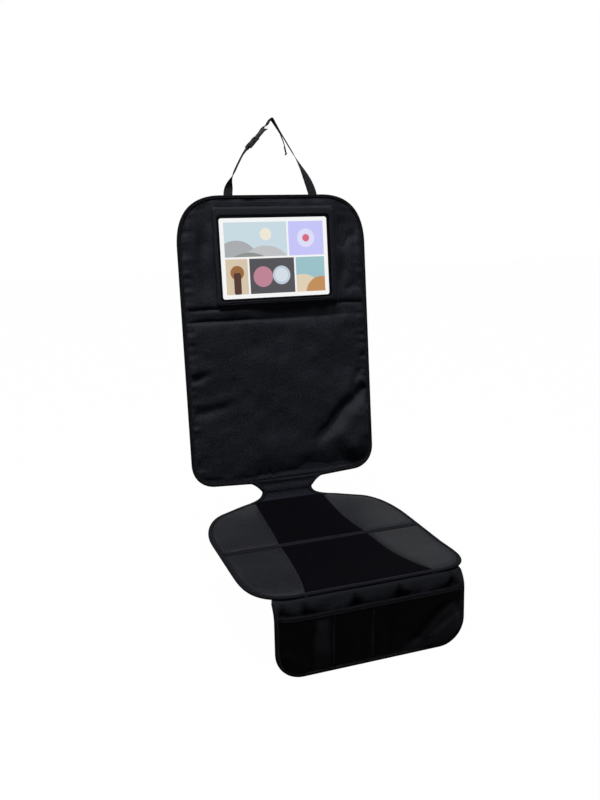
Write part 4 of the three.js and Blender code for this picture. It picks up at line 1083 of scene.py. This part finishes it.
apex = np.array([9.0, 164.0])
leave_lip = on_buckle(66, 1.7)
bow = np.array([53.0, 91.0])
toward_lip = (leave_lip - apex) / np.linalg.norm(leave_lip - apex)
toward_bow = (bow - apex) / np.linalg.norm(bow - apex)
over_top = chain(
    straight((96.5, -30), (96.5, 0)), bent([(96.5, 0), (89.5, 30), bow + toward_bow * 33, bow], 40),
    straight(bow, apex + toward_bow * 9), bent([apex + toward_bow * 9, apex, apex + toward_lip * 9], 12),
    straight(apex + toward_lip * 9, leave_lip),
)
back_over = []
for i in range(len(over_top) - 1, 0, -1):
    if over_top[i][1] < 128:
        break
    ahead = over_top[i - 1] - over_top[min(i + 1, len(over_top) - 1)]
    ahead = ahead / np.linalg.norm(ahead)
    back_over.append(over_top[i] + np.array([ahead[1], -ahead[0]]) * 1.8)
tail = bent([(28.2, 127), (36, 111.5), (40, 87)], 16)
right_route = chain(
    over_top,
    [on_buckle(58, 4.07)], [on_buckle(52, 4.25)], [on_buckle(49, 3.71)], wrap_bar(44, 90, 315, 16),
    [on_buckle(48.4, 0.86)], [on_buckle(50.4, 2.25)], [on_buckle(52, 2.45)], [on_buckle(58, 2.25)],
    np.array(back_over), tail, [(39, 85.4)], [(38.2, 87)], [(35.6, 102)],
)


def right_twist(x, rise):
    return 71 * soft_step((rise - 3) / 95) + 19 * soft_step((30 - x) / 30) * soft_step((rise - 60) / 40)


strap_right = ribbon("strap_right_webbing", right_route, right_twist, 123)
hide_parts("strap_right")


def on_face(x, rise):
    return tuple(float(v) for v in lay(mat, x, -rise, strap_depth))


on_face(60, 75)
on_face(-8, 132)
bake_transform(strap_right)


# Buckle: two mouldings in tough satin plastic, a socket with scalloped sides and a plug with sprung arms.
plastic, tree, surface = new_material("buckle_plastic", Specular_IOR_Level=0.5)
place = in_object(tree)
handled = noise(place, 120.0, 3.0)
feed(surface, {
    "Base Color": between(handled, (0.022, 0.022, 0.026), (0.038, 0.038, 0.044)),
    "Roughness": graded(handled, 0.22, 0.34),
    "Normal": relief(noise(place, 2600.0, 2.0), 0.35, 0.0001),
})
for name in ("buckle_socket", "buckle_plug"):
    cover(name, plastic)


# Studio: a white floor under the flap, a large soft lamp high above the left shoulder, a weak one from the
# right and one behind for the seat's gloss.
bpy.ops.object.select_all(action="DESELECT")
floor_half, floor_level, floor_glow, glow_share = 6, -0.136, 1.066, 0.93
floor_mesh = bpy.data.meshes.new("floor")
corners = [(x * floor_half, y * floor_half, floor_level) for x, y in ((-1, -1), (1, -1), (1, 1), (-1, 1))]
floor_mesh.from_pydata(corners, [], [(0, 1, 2, 3)])
floor = new_object("floor", floor_mesh)
white, tree, surface = new_material("white_floor", Base_Color=(0.06, 0.06, 0.06, 1), Roughness=0.9)
seen = shader(tree, "ShaderNodeLightPath").outputs["Is Camera Ray"]
plain = shader(tree, "ShaderNodeEmission", {"Color": (1, 1, 1, 1), "Strength": floor_glow})
blend = {0: times(seen, glow_share), 1: surface.outputs[0], 2: plain.outputs[0]}
shown = shader(tree, "ShaderNodeMixShader", blend)
feed(tree.nodes["Material Output"], {"Surface": shown.outputs[0]})
floor_mesh.materials.append(white)

world = bpy.data.worlds.new("studio")
bpy.context.scene.world = world
world.use_nodes = True
tree = world.node_tree
path = shader(tree, "ShaderNodeLightPath").outputs
soft = tree.nodes["Background"]
feed(soft, {"Color": (0.95, 0.97, 1, 1), "Strength": graded(path["Is Glossy Ray"], 0.12, 0.03)})
plain = shader(tree, "ShaderNodeBackground", {"Color": (1, 1, 1, 1), "Strength": 1.0})
seen = larger(path["Is Camera Ray"], path["Is Transmission Ray"])
shown = shader(tree, "ShaderNodeMixShader", {0: seen, 1: soft.outputs[0], 2: plain.outputs[0]})
feed(tree.nodes["World Output"], {"Surface": shown.outputs[0]})


def lamp(name, place, target, size, power):
    light = bpy.data.lights.new(name, "AREA")
    light.shape = "DISK"
    light.size = size
    light.energy = power
    holder = new_object(name, light)
    aim = Vector(place) - Vector(target)
    holder.matrix_world = Matrix.Translation(place) @ aim.to_track_quat("Z", "Y").to_matrix().to_4x4()


lamp("key", (-0.75, -0.95, 4.3), (0, 0.1, 0.2), 1.4, 205)
lamp("fill", (1.9, -1.7, 0.9), (0, 0.1, 0.3), 0.9, 2.5)
lamp("behind", (1.1, 2.3, 1.25), (0.1, 0, 0), 1.2, 2.1)

camera_data = bpy.data.cameras.new("camera")
camera_data.lens = 37.73
camera_data.sensor_width = 36
camera_data.clip_start = 0.01
camera = new_object("camera", camera_data)
camera_at = (-0.60428, -1.44625, 0.72281)
backward = Vector((-0.34331, -0.90235, 0.26059)).normalized()
rightward = Vector((0, 0, 1)).cross(backward).normalized()
upward = backward.cross(rightward)
camera.matrix_world = Matrix((
    (rightward.x, upward.x, backward.x, camera_at[0]),
    (rightward.y, upward.y, backward.y, camera_at[1]),
    (rightward.z, upward.z, backward.z, camera_at[2]),
    (0, 0, 0, 1),
))
bpy.context.scene.camera = camera
bpy.context.scene.view_settings.view_transform = "Standard"
